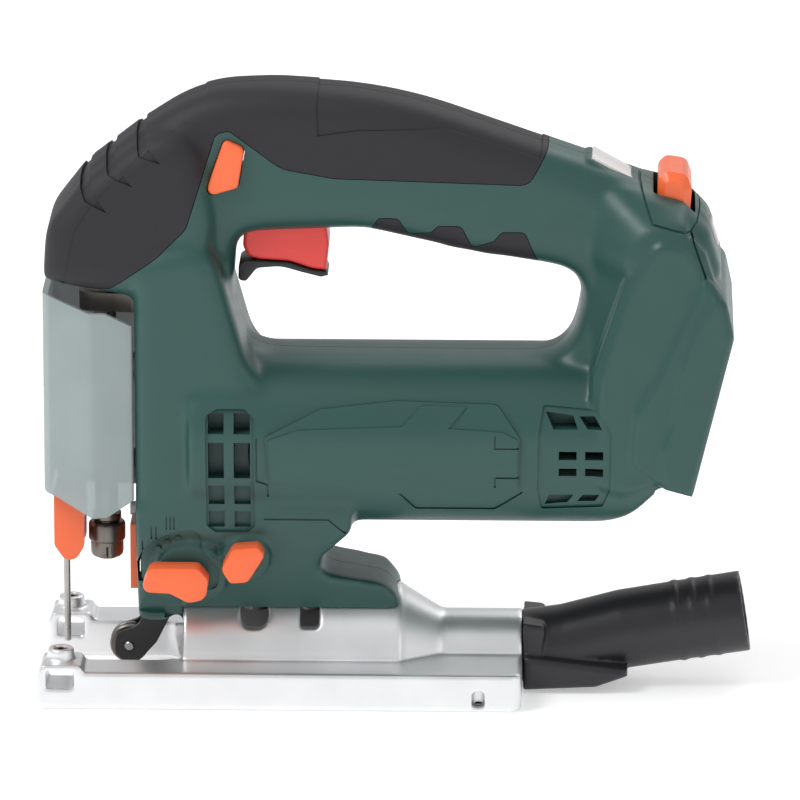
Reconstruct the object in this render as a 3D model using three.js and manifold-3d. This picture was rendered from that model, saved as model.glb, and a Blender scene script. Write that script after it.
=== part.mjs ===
// Cordless pendulum jigsaw with a D-handle, a tilting cast base and a plug-in dust nozzle.
// Millimetres. +X points to the rear of the tool, +Y to its right side, +Z up.
// The sole lies on z = 0, the parting plane of the housing is y = 0.
import * as THREE from "three";
import { mergeVertices } from "three/addons/utils/BufferGeometryUtils.js";
import Module from "manifold-3d";

const wasm = await Module();
wasm.setup();

// ---- Driving dimensions ----
const FIT = 0.3; // gap between pieces that touch
const PLAY = 0.8; // room round a piece that moves
const WALL = 3; // housing wall
const GRIP_SKIN = 2; // soft overmould
const BADGE_SKIN = 1; // blank plates

const HANDLE_HALF = 17.5; // half widths of the housing's zones
const NOSE_HALF = 25;
const COLUMN_HALF = 28;
const BARREL_HALF = 33.5;
const FOOT_HALF = 36.5;

const FRONT_X = -120.4; // foremost point of the nose
const COLUMN_X = -88.5; // front face of the gear column
const SHANK_END_X = 2.2; // rear end of the lower gusset
const REAR_X = 117; // rearmost edge of the battery foot
const CROWN_Z = 214; // top of the handle
const SHOULDER_Z = 169; // where the nose leans back towards the crown
const OPENING_Z = 119.6; // floor of the hand opening
const FOOT_BOTTOM_X = 102.8; // lowest corner of the battery foot
const FOOT_BOTTOM_Z = 76.4;
const FOOT_SHOULDER_Z = 133; // height of the rearmost edge

const BASE_LENGTH = 166.6; // cast base
const BASE_HALF = 39;
const BASE_FRONT_X = -122;
const DECK_Z = 13.2;
const RAIL_INNER = 22.2; // inside face of the two front arms
const TILT_Z = 10; // height of the bevel-cut axis
const TILT_MAX = 45; // degrees
const SADDLE_R = 24;
const SADDLE_WALL = 3.5;
const SADDLE_FRONT_X = -72.5;
const SADDLE_REAR_X = 2.5;
const DUCT_R = 15;
const DUCT_WALL = 3;
const SOLE_INSERT = 2;
const GUIDE_BOSS_R = 4.65;
const GUIDE_BOSS_Z = 20;
const GUIDE_SCREW_R = 2.2;

const NOZZLE_R = 13.8; // hose end of the dust nozzle
const NOZZLE_WALL = 2.2;

const PLUNGER_X = -99.7; // reciprocating axis
const PLUNGER_R = 4;
const STROKE = 26;
const CLAMP_R = 5.7;
const BUSH_WALL = 2.4;

const MOTOR_Z = 86.6;
const MOTOR_R = 21.4;
const BELLY_Z = MOTOR_Z - MOTOR_R - WALL - 2.6; // underside of the motor barrel
const MOTOR_FRONT_X = -30;
const MOTOR_REAR_X = 34;
const MOTOR_WALL = 2.5;
const ARMATURE_R = 13;
const SHAFT_R = 3;
const GEAR_MODULE = 1.2;
const PINION_TEETH = 8;
const GEAR_TEETH = 34;
const GEAR_X = -80; // front face of the spur gear
const GEAR_WIDTH = 6;

const FORK_X = -79.5; // pendulum pivot
const FORK_Z = 34;
const ROLLER_X = -92.1;
const ROLLER_Z = 12.4;
const ROLLER_R = 6.8;
const ROLLER_HALF = 2.6;

const GUARD_HALF = 24;
const GUARD_WALL = 2;
const GUARD_X = -120.5;

const CHANNEL_HALF = 30; // battery slide channel
const CHANNEL_DEPTH = 13;
const SCREW_R = 1.8;
const SCREW_HEAD_R = 3.5;

// ---- Shape helpers ----
const X = new THREE.Vector3(1, 0, 0);
const Y = new THREE.Vector3(0, 1, 0);
const Z = new THREE.Vector3(0, 0, 1);
const flip = (v) => v.clone().negate();
const ALONG_X = new THREE.Matrix4().makeBasis(Y, Z, X);
const ALONG_Y = new THREE.Matrix4().makeBasis(X, Z, flip(Y));
const SPIN_X = new THREE.Matrix4().makeBasis(Y, X, flip(Z));
const SPIN_Z = new THREE.Matrix4().makeBasis(X, Z, flip(Y));
const SPIN = { x: SPIN_X, y: new THREE.Matrix4(), z: SPIN_Z };

// A closed three.js geometry as a solid, facing outwards whichever way its profile ran.
function solid(geometry) {
  const bare = geometry.index ? geometry.toNonIndexed() : geometry.clone();
  bare.deleteAttribute("normal");
  bare.deleteAttribute("uv");
  const merged = mergeVertices(bare, 1e-4);
  const index = merged.index.array;
  const triangles = [];
  for (let i = 0; i < index.length; i += 3) {
    const [a, b, c] = [index[i], index[i + 1], index[i + 2]];
    if (a !== b && b !== c && c !== a) triangles.push(a, b, c);
  }
  const make = (list) =>
    new wasm.Manifold(
      new wasm.Mesh({
        numProp: 3,
        vertProperties: new Float32Array(merged.attributes.position.array),
        triVerts: new Uint32Array(list),
      }),
    );
  const made = make(triangles);
  return made.volume() < 0 ? make(triangles.reverse()) : made;
}

const union = (first, ...rest) => rest.reduce((sum, next) => sum.add(next), first);
const without = (first, ...rest) => rest.reduce((sum, next) => sum.subtract(next), first);

// Corners of an outline with every edge moved outwards by `by`; rounding follows.
function grown(corners, by) {
  const count = corners.length;
  const at = (i) => new THREE.Vector2(...corners[(i + count) % count].slice(0, 2));
  const area = corners.reduce((sum, _, i) => sum + at(i).cross(at(i + 1)), 0);
  return corners.map(([u, v, radius = 0], i) => {
    const before = at(i).sub(at(i - 1)).normalize();
    const after = at(i + 1).sub(at(i)).normalize();
    const outward = new THREE.Vector2(before.y + after.y, -before.x - after.x);
    const shift = (2 * by * Math.sign(area)) / outward.lengthSq();
    const grownRadius = radius + by * Math.sign(before.cross(after) * area);
    return [u + outward.x * shift, v + outward.y * shift, radius ? Math.max(grownRadius, 0) : 0];
  });
}

// Outline through [u, v] corners; a third number rounds that corner with an arc.
function outline(corners, by = 0) {
  const moved = by ? grown(corners, by) : corners;
  const shape = new THREE.Shape();
  const at = (i) => new THREE.Vector2(...moved[(i + moved.length) % moved.length].slice(0, 2));
  moved.forEach(([, , radius = 0], i) => {
    const here = at(i);
    const back = at(i - 1).sub(here).normalize();
    const ahead = at(i + 1).sub(here).normalize();
    const half = Math.acos(THREE.MathUtils.clamp(back.dot(ahead), -1, 1)) / 2;
    const start = here.clone().addScaledVector(back, radius / Math.tan(half));
    if (i) shape.lineTo(start.x, start.y);
    else shape.moveTo(start.x, start.y);
    if (!radius) return;
    const end = here.clone().addScaledVector(ahead, radius / Math.tan(half));
    const middle = back.clone().add(ahead).normalize();
    const centre = here.clone().addScaledVector(middle, radius / Math.sin(half));
    const from = start.clone().sub(centre).angle();
    const to = end.clone().sub(centre).angle();
    shape.absarc(centre.x, centre.y, radius, from, to, back.cross(ahead) > 0);
  });
  shape.closePath();
  return shape;
}

function circle(u, v, radius) {
  const shape = new THREE.Shape();
  shape.absarc(u, v, radius, 0, Math.PI * 2);
  return shape;
}

const prism = (shape, from, to, frame, curveSegments = 2) => {
  const geometry = new THREE.ExtrudeGeometry(shape, {
    depth: to - from,
    bevelEnabled: false,
    curveSegments,
  });
  geometry.translate(0, 0, from);
  return solid(geometry.applyMatrix4(frame));
};
const alongX = (shape, from, to) => prism(shape, from, to, ALONG_X);
const alongY = (shape, from, to) => prism(shape, -to, -from, ALONG_Y);
const alongZ = (shape, from, to) => prism(shape, from, to, new THREE.Matrix4());

// A block between two corners.
function block([x0, y0, z0], [x1, y1, z1]) {
  const geometry = new THREE.BoxGeometry(x1 - x0, y1 - y0, z1 - z0);
  return solid(geometry.translate((x0 + x1) / 2, (y0 + y1) / 2, (z0 + z1) / 2));
}

// A turned piece: [radius, height] steps about an axis through `centre`.
function turned(axis, centre, steps, segments = 20) {
  const points = steps.map(([r, h]) => new THREE.Vector2(r, h));
  if (points[0].x > 0) points.push(points[0].clone());
  const geometry = new THREE.LatheGeometry(points, segments);
  geometry.applyMatrix4(SPIN[axis]).translate(...centre);
  return solid(geometry);
}

const rod = (axis, centre, radius, from, to, segments = 16) =>
  turned(axis, centre, [[0, from], [radius, from], [radius, to], [0, to]], segments);
const ring = (axis, centre, outer, inner, from, to, segments = 20) =>
  turned(axis, centre, [[inner, from], [outer, from], [outer, to], [inner, to]], segments);

// A moulded zone of the housing: a side outline with rounded edges, symmetric about y = 0.
// `inset` draws the whole skin inwards by that much.
function zone(shape, half, round, inset = 0, steps = 2) {
  const straight = half - inset - round;
  const geometry = new THREE.ExtrudeGeometry(shape, {
    depth: 2 * straight,
    bevelThickness: round,
    bevelSize: round,
    bevelOffset: -round,
    bevelSegments: steps,
    curveSegments: 2,
  });
  geometry.translate(0, 0, -straight);
  return solid(geometry.applyMatrix4(ALONG_Y));
}

// The same zone from corners. A corner tighter than the edge rounding is left sharp.
function cornerZone(corners, half, round, inset = 0, steps = 2) {
  const drawn = grown(corners, -inset).map(([x, z, r]) => [x, z, r > round + 1 ? r : 0]);
  return zone(outline(drawn), half, round, inset, steps);
}

// ---- Side outlines ----
const HAND_OPENING = outline([
  [-56.6, OPENING_Z, 15],
  [60, OPENING_Z - 0.5, 13],
  [66.5, 150, 9],
  [26, 156.4],
  [-10, 164.4],
  [-54, 162.6, 6],
]).getPoints(2);

function spineOutline() {
  const shape = new THREE.Shape();
  const arched = (share) => SHOULDER_Z + share * (CROWN_Z - SHOULDER_Z);
  shape.moveTo(FRONT_X, 147);
  shape.splineThru(
    [
      [-117.8, SHOULDER_Z],
      [-105.8, arched(0.347)],
      [-88.2, arched(0.642)],
      [-68.6, arched(0.898)],
      [-45, CROWN_Z],
      [-5, arched(0.918)],
      [65.4, 188.6],
    ].map(([x, z]) => new THREE.Vector2(x, z)),
  );
  const rest = [
    [87.4, 180.4],
    [101.6, 174.6],
    [107.6, 168],
    [112.2, 153],
    [111.4, 141],
    [REAR_X - 1, FOOT_SHOULDER_Z],
    [FOOT_BOTTOM_X, FOOT_BOTTOM_Z + 1],
    [93.4, FOOT_BOTTOM_Z + 2],
    [74, 63],
    [63.8, BELLY_Z],
    [-60, BELLY_Z],
    [COLUMN_X, BELLY_Z],
    [COLUMN_X, 141.5],
  ];
  for (const [x, z] of rest) shape.lineTo(x, z);
  shape.closePath();
  shape.holes.push(new THREE.Path(HAND_OPENING));
  return shape;
}

const NOSE = [
  [FRONT_X, 147, 4],
  [-119.2, 166, 10],
  [-106.6, 182.4, 12],
  [-84, 199.4, 16],
  [-66, 201, 12],
  [-60, 170, 14],
  [-64, 136, 10],
  [COLUMN_X, 141.5],
];
const COLUMN = [
  [COLUMN_X, BELLY_Z - 6],
  [COLUMN_X, 158, 12],
  [-62, 164, 12],
  [-50, OPENING_Z + 2, 12],
  [-40, 108, 10],
  [-40, BELLY_Z - 3, 10],
];
const BARREL_SIDE = outline([
  [-70, BELLY_Z],
  [63.8, BELLY_Z],
  [74, BELLY_Z + 1.6],
  [82, BELLY_Z + 6.4],
  [92, 78],
  [92, 104],
  [74, OPENING_Z - 0.6, 8],
  [-70, OPENING_Z - 0.6],
]);
const FOOT = [
  [66, FOOT_BOTTOM_Z - 0.4, 6],
  [80, FOOT_BOTTOM_Z - 2],
  [93.4, FOOT_BOTTOM_Z + 2],
  [FOOT_BOTTOM_X, FOOT_BOTTOM_Z],
  [REAR_X, FOOT_SHOULDER_Z, 5.5],
  [114.5, 145.7],
  [110, 152],
  [106.7, 161],
  [102, 167.2, 5.5],
  [88, 169, 6],
  [79, 152],
  [68, 118, 10],
];
const CAP_HALF = 25;
const CAP = [
  [72, 140],
  [82, 177],
  [100, 173.5],
  [109, 166],
  [112.4, 150],
  [104, 126],
  [75, 120],
];

// The tapering lower housing: its side view, and the section across it.
const SHANK_SIDE = outline([
  [COLUMN_X, 23, 2],
  [-79, 23, 2],
  [SADDLE_FRONT_X - PLAY, 28],
  [SADDLE_FRONT_X - PLAY, 20],
  [SHANK_END_X - 0.4, 20],
  [SHANK_END_X, 33.4, 2],
  [-3, 39.4, 4],
  [-23, 43, 2],
  [-26.5, 48, 3],
  [-14, BELLY_Z + 1],
  [-14, BELLY_Z + WALL],
  [COLUMN_X, BELLY_Z + WALL],
]);
const TAPER_Z = 62; // where the lower walls start to lean in
const TAPER_FOOT_Z = 29.9;
const TAPER_FOOT_HALF = 14.4;
const taperLean = (COLUMN_HALF - TAPER_FOOT_HALF) / (TAPER_Z - TAPER_FOOT_Z);
const taperHalf = (z) => COLUMN_HALF - (TAPER_Z - z) * taperLean;

function shank() {
  const section = outline([
    [-COLUMN_HALF, BELLY_Z + 9],
    [-COLUMN_HALF, TAPER_Z],
    [-taperHalf(19), 19],
    [taperHalf(19), 19],
    [COLUMN_HALF, TAPER_Z],
    [COLUMN_HALF, BELLY_Z + 9],
  ]);
  return alongX(section, COLUMN_X - 5, SHANK_END_X + 5).intersect(alongY(SHANK_SIDE, -60, 60));
}

const SPINE = spineOutline();
function spine(inset, steps) {
  const round = 8;
  const straight = HANDLE_HALF - inset - round;
  const geometry = new THREE.ExtrudeGeometry(SPINE, {
    depth: 2 * straight,
    bevelThickness: round,
    bevelSize: round,
    bevelOffset: -round - inset,
    bevelSegments: steps,
    curveSegments: 4,
  });
  geometry.translate(0, 0, -straight);
  return solid(geometry.applyMatrix4(ALONG_Y));
}

// The motor barrel, nearly round across.
const BARREL_R = 30;
const barrelHalf = (z) => BARREL_HALF - BARREL_R + Math.sqrt(BARREL_R ** 2 - (BELLY_Z + BARREL_R - z) ** 2);

function barrel(inset) {
  const section = grown([
    [-BARREL_HALF, BELLY_Z, BARREL_R],
    [BARREL_HALF, BELLY_Z, BARREL_R],
    [BARREL_HALF, OPENING_Z - 0.6, 25],
    [-BARREL_HALF, OPENING_Z - 0.6, 25],
  ], -inset);
  const round = alongX(outline(section), -70 + inset, 92 - inset);
  return round.intersect(alongY(BARREL_SIDE, -60, 60));
}

function mainBody(inset, steps = 2) {
  return union(
    spine(inset, steps),
    cornerZone(NOSE, NOSE_HALF, 9, inset, steps),
    cornerZone(COLUMN, COLUMN_HALF, 6, inset, 1),
    barrel(inset),
    cornerZone(FOOT, FOOT_HALF, 4, inset, 1),
    cornerZone(CAP, CAP_HALF, 6, inset, 1),
  );
}

// ---- Levers, buttons and where they sit ----
const ORBIT = { x: -70, z: 44, back: 27.6, front: 36.5 };
const BLOWER = { x: -50.4, z: 51.4, back: 28.6, front: 36.5 };
const LEVER_SHAFT_R = 3.5;
const ORBIT_BOSS_R = 13;
const BLOWER_BOSS_R = 8.5;

const TRIGGER_HALF = 8;
const TRIGGER_TRAVEL = 6;
const TRIGGER = [
  [-50.6, 172],
  [-51.6, 156, 3],
  [-49.4, 152.6],
  [-23.8, 152.6],
  [-22.4, 160, 2],
  [-24, 172],
];
const TRIGGER_PAD = [
  [-50.4, 152.3],
  [-52.8, 151, 2],
  [-52.9, 145.6, 1],
  [-50.1, 145.6, 1],
  [-46.5, 150.6, 3],
  [-38.7, 151.6],
  [-32.2, 150, 3],
  [-26.6, 148, 1],
  [-24, 149.4, 1],
  [-23.6, 152.3],
];
const LOCK_HALF = 20;
const LOCK = [
  [-57.4, 197.6, 1.5],
  [-50.6, 194.4, 2],
  [-52.8, 180.7, 2],
  [-64.6, 177.2, 2],
];
const BUTTON_HALF = 14;
const BUTTON_TRAVEL = 4;
const BUTTON_LOW = 169;
const BUTTON = [
  [89.8, BUTTON_LOW],
  [90.2, 182.5, 3],
  [93, 185.4, 2],
  [100, 184.4, 3],
  [101.8, 179.4, 3],
  [101, BUTTON_LOW],
];

const GRIP_ZONE = [
  [-130, 152],
  [-112.7, 147],
  [-104, 144.8],
  [-97, 145.3, 4],
  [-80.3, 157.6],
  [-70.6, 167.1, 8],
  [-60.6, 199, 3],
  [-56, 200, 2],
  [-38, 187, 8],
  [-20, 183.6],
  [46, 181.6, 4],
  [57, 200],
  [64, 230],
  [-130, 230],
];
const PAD_ZONE = [
  [-15, 150],
  [-5.1, 169.5, 2],
  [1.6, 169.5, 1.5],
  [5, 163.6, 1.5],
  [13, 164.4],
  [15.3, 167, 1.5],
  [23.2, 167, 1.5],
  [27, 158.8, 1.5],
  [34.5, 161.7],
  [37.1, 165, 1.5],
  [44.9, 165, 1.5],
  [50, 152],
  [50, 140],
  [-15, 140],
];
const BADGE_ZONE = [[67.4, 170], [81.2, 170], [81.2, 200], [67.4, 200]];
const REAR_BADGE_ZONE = [[104, 158], [118, 158], [118, 166], [104, 166]];

// ---- Housing ----
const GEAR_PITCH_R = (GEAR_MODULE * GEAR_TEETH) / 2;
const PINION_PITCH_R = (GEAR_MODULE * PINION_TEETH) / 2;
const GEAR_Z = MOTOR_Z + GEAR_PITCH_R + PINION_PITCH_R;

// The channel that the battery slides down into, open to the rear and below.
const footSlope = (REAR_X - FOOT_BOTTOM_X) / (FOOT_SHOULDER_Z - FOOT_BOTTOM_Z);
const rearX = (z) => REAR_X - (FOOT_SHOULDER_Z - z) * footSlope;
const CHANNEL_TOP_Z = 124;
const channelOutline = (spare) =>
  outline([
    [rearX(CHANNEL_TOP_Z) - CHANNEL_DEPTH - spare, CHANNEL_TOP_Z + spare],
    [rearX(50) - CHANNEL_DEPTH - spare, 50],
    [REAR_X + 12, 50],
    [REAR_X + 12, CHANNEL_TOP_Z + spare],
  ]);
const channel = (spare) =>
  alongY(channelOutline(spare), -CHANNEL_HALF - spare, CHANNEL_HALF + spare);

// What the base sweeps through as it tilts, outside the sector that the saddle fills.
function tiltSweep() {
  const reach = Math.hypot(BASE_HALF, DECK_Z - TILT_Z) + PLAY;
  const side = (sign, radius, from, to) => {
    const deckAngle = Math.asin((DECK_Z - TILT_Z) / radius);
    const edge = THREE.MathUtils.degToRad(TILT_MAX + 1) + deckAngle;
    const shape = new THREE.Shape();
    shape.moveTo(0, TILT_Z);
    for (let i = 0; i <= 12; i++) {
      const angle = -Math.PI / 2 + ((edge + Math.PI / 2) * i) / 12;
      shape.lineTo(sign * reach * Math.cos(angle), TILT_Z + reach * Math.sin(angle));
    }
    shape.closePath();
    return alongX(shape, from, to);
  };
  const front = SADDLE_FRONT_X - PLAY;
  const slotEnd = front - 6;
  const inner = RAIL_INNER - 3.6;
  const between = union(
    rod("x", [0, 0, TILT_Z], RAIL_INNER - PLAY, BASE_FRONT_X - 1, slotEnd, 32),
    rod("x", [0, 0, TILT_Z], inner, slotEnd - 0.01, front + 1, 32),
  );
  const both = (radius, from, to) => union(side(1, radius, from, to), side(-1, radius, from, to));
  const arms = both(inner, BASE_FRONT_X, front).subtract(between);
  return union(arms, both(SADDLE_R, front - 0.01, SHANK_END_X + 1));
}

const SCREWS = [
  { x: -109.6, z: 166, face: NOSE_HALF - GRIP_SKIN - 2 },
  { x: -81, z: 50, face: taperHalf(50) },
  { x: -42, z: 66, face: barrelHalf(66) },
  { x: 62, z: 66, face: barrelHalf(66) },
  { x: 88, z: 157, face: FOOT_HALF },
  { x: 20, z: 174, face: HANDLE_HALF },
];
const SCREW_BOSS_R = 4.6;

const CLAMP_BOLTS = { front: -47.7, rear: -28.1 };
const CLAMP_BOLT_R = 2.5;
const CLAMP_HEAD_R = 4.4;
const CLAMP_HEAD_TOP = TILT_Z + Math.sqrt((SADDLE_R - SADDLE_WALL - PLAY) ** 2 - CLAMP_HEAD_R ** 2);
const CLAMP_BOLT_TOP = 46;

const FRONT_VENTS = [];
for (const [x0, x1] of [[-64, -57.2], [-54.6, -47.8]])
  for (const [z0, z1] of [[63.5, 69.5], [70.8, 77.4], [80.8, 93.4], [97, 103.6]])
    FRONT_VENTS.push([x0, x1, z0, z1]);
const REAR_VENTS = [];
for (const [x0, x1] of [[55, 62.6], [65.4, 71.6]])
  for (const [z0, z1] of [[73, 75.6], [83, 85.8], [89, 92], [99.6, 103.8]])
    REAR_VENTS.push([x0, x1, z0, z1]);

const inlay = (corners, half, depth, gap) =>
  alongY(outline(corners, gap), -half - gap, half + gap).subtract(mainBody(depth + gap));

const plungerRoom = () => block([PLUNGER_X - 6, -6, 138], [COLUMN_X + 2, 6, 152]);

const LEFT_OF_PARTING = block([-200, -60, 0], [200, -FIT / 2, 260]);
const RIGHT_OF_PARTING = block([-200, FIT / 2, 0], [200, 60, 260]);

function makeHousing() {
  const openings = [
    channel(0),
    ...[...FRONT_VENTS, ...REAR_VENTS].map(([x0, x1, z0, z1]) =>
      block([x0, -50, z0], [x1, 50, z1]),
    ),
    block([COLUMN_X - 2, -20.5, 66], [COLUMN_X + WALL + 2, 20.5, 141.4]),
    plungerRoom(),
    alongY(outline(TRIGGER, PLAY), -TRIGGER_HALF - PLAY, TRIGGER_HALF + PLAY).translate(0, 0, 1),
    block([-53, -TRIGGER_HALF - PLAY, 150], [-21, TRIGGER_HALF + PLAY, 174]),
    alongY(outline(LOCK, FIT), -50, 50),
    alongY(outline(BUTTON, PLAY), -BUTTON_HALF - PLAY, BUTTON_HALF + PLAY),
    block(
      [89, -BUTTON_HALF - PLAY, BUTTON_LOW - BUTTON_TRAVEL - PLAY],
      [103, BUTTON_HALF + PLAY, BUTTON_LOW + 8],
    ),
    rod("x", [0, 0, TILT_Z], SADDLE_R + 0.6, SADDLE_FRONT_X - PLAY, SHANK_END_X + 3, 44),
    tiltSweep(),
    block([COLUMN_X - 2, -6.4, 18], [-74.4, 6.4, 43]),
    rod("y", [ORBIT.x, 0, ORBIT.z], LEVER_SHAFT_R + FIT, -30, -10),
    rod("y", [BLOWER.x, 0, BLOWER.z], LEVER_SHAFT_R + FIT, -32, -10),
    ...Object.values(CLAMP_BOLTS).map((x) =>
      rod("z", [x, 0, 0], CLAMP_BOLT_R + FIT, 20, CLAMP_BOLT_TOP + FIT),
    ),
    inlay(GRIP_ZONE, 50, GRIP_SKIN, FIT),
    inlay(PAD_ZONE, 50, GRIP_SKIN, FIT),
    inlay(BADGE_ZONE, 7.5, BADGE_SKIN, FIT),
    inlay(REAR_BADGE_ZONE, 6, BADGE_SKIN, FIT),
  ];
  const leverBosses = union(
    rod("y", [ORBIT.x, 0, ORBIT.z], ORBIT_BOSS_R, -ORBIT.back + FIT, -12, 32),
    rod("y", [BLOWER.x, 0, BLOWER.z], BLOWER_BOSS_R, -BLOWER.back + FIT, -12, 28),
  );
  const cavity = mainBody(WALL + GRIP_SKIN / 2, 1).subtract(channel(WALL));
  let shell = mainBody(0).subtract(cavity);
  for (const { x, z, face } of SCREWS)
    shell = shell.add(rod("y", [x, 0, z], SCREW_BOSS_R, -face + 4, face - 4));
  shell = union(shell, shank(), leverBosses);
  shell = without(shell, ...openings);
  const half = (sign) => {
    return shell.intersect(sign < 0 ? LEFT_OF_PARTING : RIGHT_OF_PARTING);
  };
  const head = 2;
  let left = half(-1);
  let right = half(1);
  for (const { x, z, face } of SCREWS) {
    left = left.subtract(rod("y", [x, 0, z], SCREW_R + FIT, -10 - FIT, 0.5));
    right = right.subtract(rod("y", [x, 0, z], SCREW_R + FIT, -0.5, face));
    right = right.subtract(rod("y", [x, 0, z], SCREW_HEAD_R + FIT, face - head - 2, face + 20));
  }
  return { left, right };
}

// ---- Material library ----
const finish = (color, roughness, metalness = 0) => ({ color, roughness, metalness });
const GREEN = finish("#31584f", 0.5);
const SOFT_BLACK = finish("#37343a", 0.72);
const BLACK = finish("#242327", 0.55);
const ORANGE = finish("#f0653c", 0.42);
const RED = finish("#e04a44", 0.42);
const CAST = finish("#dfe1e2", 0.38, 0.9);
const STEEL = finish("#9b9b9d", 0.32, 1);
const DARK_STEEL = finish("#5f5a58", 0.42, 1);
const CLEAR = finish("#b9c4c8", 0.25);
const WHITE = finish("#eeeeee", 0.5);
const COPPER = finish("#b0653a", 0.4, 1);
const BRASS = finish("#b5954f", 0.35, 1);

const tool = new THREE.Group();
function add(name, piece, look) {
  const { vertProperties, triVerts } = piece.getMesh();
  const geometry = new THREE.BufferGeometry();
  geometry.setAttribute("position", new THREE.BufferAttribute(vertProperties, 3));
  geometry.setIndex(new THREE.BufferAttribute(triVerts, 1));
  geometry.computeVertexNormals();
  const mesh = new THREE.Mesh(geometry, new THREE.MeshStandardMaterial(look));
  mesh.name = name;
  tool.add(mesh);
  return mesh;
}

function addHousing() {
  const { left, right } = makeHousing();
  add("housing_left", left, GREEN);
  add("housing_right", right, GREEN);
}

// Overmoulds and blank plates, laid into the skin of the housing.
function addInlays() {
  const whole = mainBody(0);
  const sides = { left: LEFT_OF_PARTING, right: RIGHT_OF_PARTING };
  const lockHole = alongY(outline(LOCK, FIT), -50, 50);
  const grip = without(whole.intersect(inlay(GRIP_ZONE, 50, GRIP_SKIN, 0)), lockHole, plungerRoom());
  const pad = whole.intersect(inlay(PAD_ZONE, 50, GRIP_SKIN, 0));
  for (const [side, keep] of Object.entries(sides)) {
    add(`grip_cover_${side}`, grip.intersect(keep), SOFT_BLACK);
    add(`finger_pad_${side}`, pad.intersect(keep), SOFT_BLACK);
  }
  add("badge_plate", whole.intersect(inlay(BADGE_ZONE, 7.5, BADGE_SKIN, 0)), WHITE);
  add("rear_badge_plate", whole.intersect(inlay(REAR_BADGE_ZONE, 6, BADGE_SKIN, 0)), WHITE);
}

function addScrews() {
  SCREWS.forEach(({ x, z, face }, i) => {
    const top = face - 4;
    const screw = union(
      rod("y", [x, 0, z], SCREW_R, -10, top, 12),
      rod("y", [x, 0, z], SCREW_HEAD_R, top, top + 2, 18),
    ).subtract(rod("y", [x, 0, z], 1.5, top + 1, top + 3, 6));
    add(`housing_screw_${i + 1}`, screw, DARK_STEEL);
  });
}

// ---- Controls ----
function addControls() {
  add("trigger", alongY(outline(TRIGGER), -TRIGGER_HALF, TRIGGER_HALF), RED);
  add("trigger_pad", alongY(outline(TRIGGER_PAD), -TRIGGER_HALF, TRIGGER_HALF), BLACK);
  add("lock_bolt", alongY(outline(LOCK), -LOCK_HALF, LOCK_HALF), ORANGE);
  add("release_button", cornerZone(BUTTON, BUTTON_HALF, 2), ORANGE);

  const shaft = ({ x, z, back }) => rod("y", [x, 0, z], LEVER_SHAFT_R, -back - 2, -13);
  const orbitBar = outline([
    [ORBIT.x - 15.6, ORBIT.z + 0.4, 2],
    [ORBIT.x - 12.6, ORBIT.z + 5.4, 2],
    [ORBIT.x + 3.4, ORBIT.z + 5.8, 2],
    [ORBIT.x + 7, ORBIT.z + 1, 2],
    [ORBIT.x + 5.6, ORBIT.z - 5.4, 3],
    [ORBIT.x - 1.4, ORBIT.z - 6.2, 3],
    [ORBIT.x - 6.6, ORBIT.z - 2.8, 3],
    [ORBIT.x - 14.4, ORBIT.z - 2.6, 2],
  ]);
  add("orbital_lever", alongY(orbitBar, -ORBIT.front, -ORBIT.back).add(shaft(ORBIT)), ORANGE);
  const blowerKnob = outline([
    [BLOWER.x - 8.2, BLOWER.z - 1.6, 2],
    [BLOWER.x - 4.2, BLOWER.z + 6, 2],
    [BLOWER.x + 4.6, BLOWER.z + 6.6, 1.5],
    [BLOWER.x + 7, BLOWER.z + 3.6, 1.5],
    [BLOWER.x + 1, BLOWER.z - 6, 2],
    [BLOWER.x - 5.2, BLOWER.z - 6.6, 2],
  ]);
  add("blower_lever", alongY(blowerKnob, -BLOWER.front, -BLOWER.back).add(shaft(BLOWER)), ORANGE);
}

// ---- Front end: guard, blade clamp, release lever ----
const GUARD_BOTTOM_Z = 64;
const GUARD_TOP_Z = 141;
const GUARD_REAR_X = COLUMN_X - FIT - 0.2;
const RELEASE_X = -110.4; // hinge of the blade release lever
const RELEASE_Z = 69;
const ROD_X = -113.7;
const ROD_R = 1.15;
const ROD_TOP = 72;

function addGuard() {
  const side = (half) => [
    [GUARD_REAR_X, half],
    [-103.5, half],
    [GUARD_X, half - 9],
    [GUARD_X, -half + 9],
    [-103.5, -half],
    [GUARD_REAR_X, -half],
  ];
  const outer = alongZ(outline(side(GUARD_HALF)), GUARD_BOTTOM_Z, GUARD_TOP_Z + 1);
  const shift = GUARD_WALL;
  const inner = outline([
    [GUARD_REAR_X + 1, GUARD_HALF - shift],
    [-103.1, GUARD_HALF - shift],
    [GUARD_X + shift, GUARD_HALF - 9 - shift / 2],
    [GUARD_X + shift, -GUARD_HALF + 9 + shift / 2],
    [-103.1, -GUARD_HALF + shift],
    [GUARD_REAR_X + 1, -GUARD_HALF + shift],
  ]);
  const profile = outline([
    [GUARD_X - 1, 71.4],
    [-115.2, 69.4],
    [-103.2, GUARD_BOTTOM_Z, 2],
    [-98, 64.6, 2],
    [GUARD_REAR_X + 1, 71.4],
    [GUARD_REAR_X + 1, 132],
    [-98.4, 137, 2],
    [-104.2, 137, 2],
    [GUARD_X - 1, 143],
  ]);
  const guard = outer
    .intersect(alongY(profile, -40, 40))
    .subtract(alongZ(inner, GUARD_BOTTOM_Z - 5, GUARD_TOP_Z + 5));
  add("chip_guard", guard, CLEAR);
}

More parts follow.
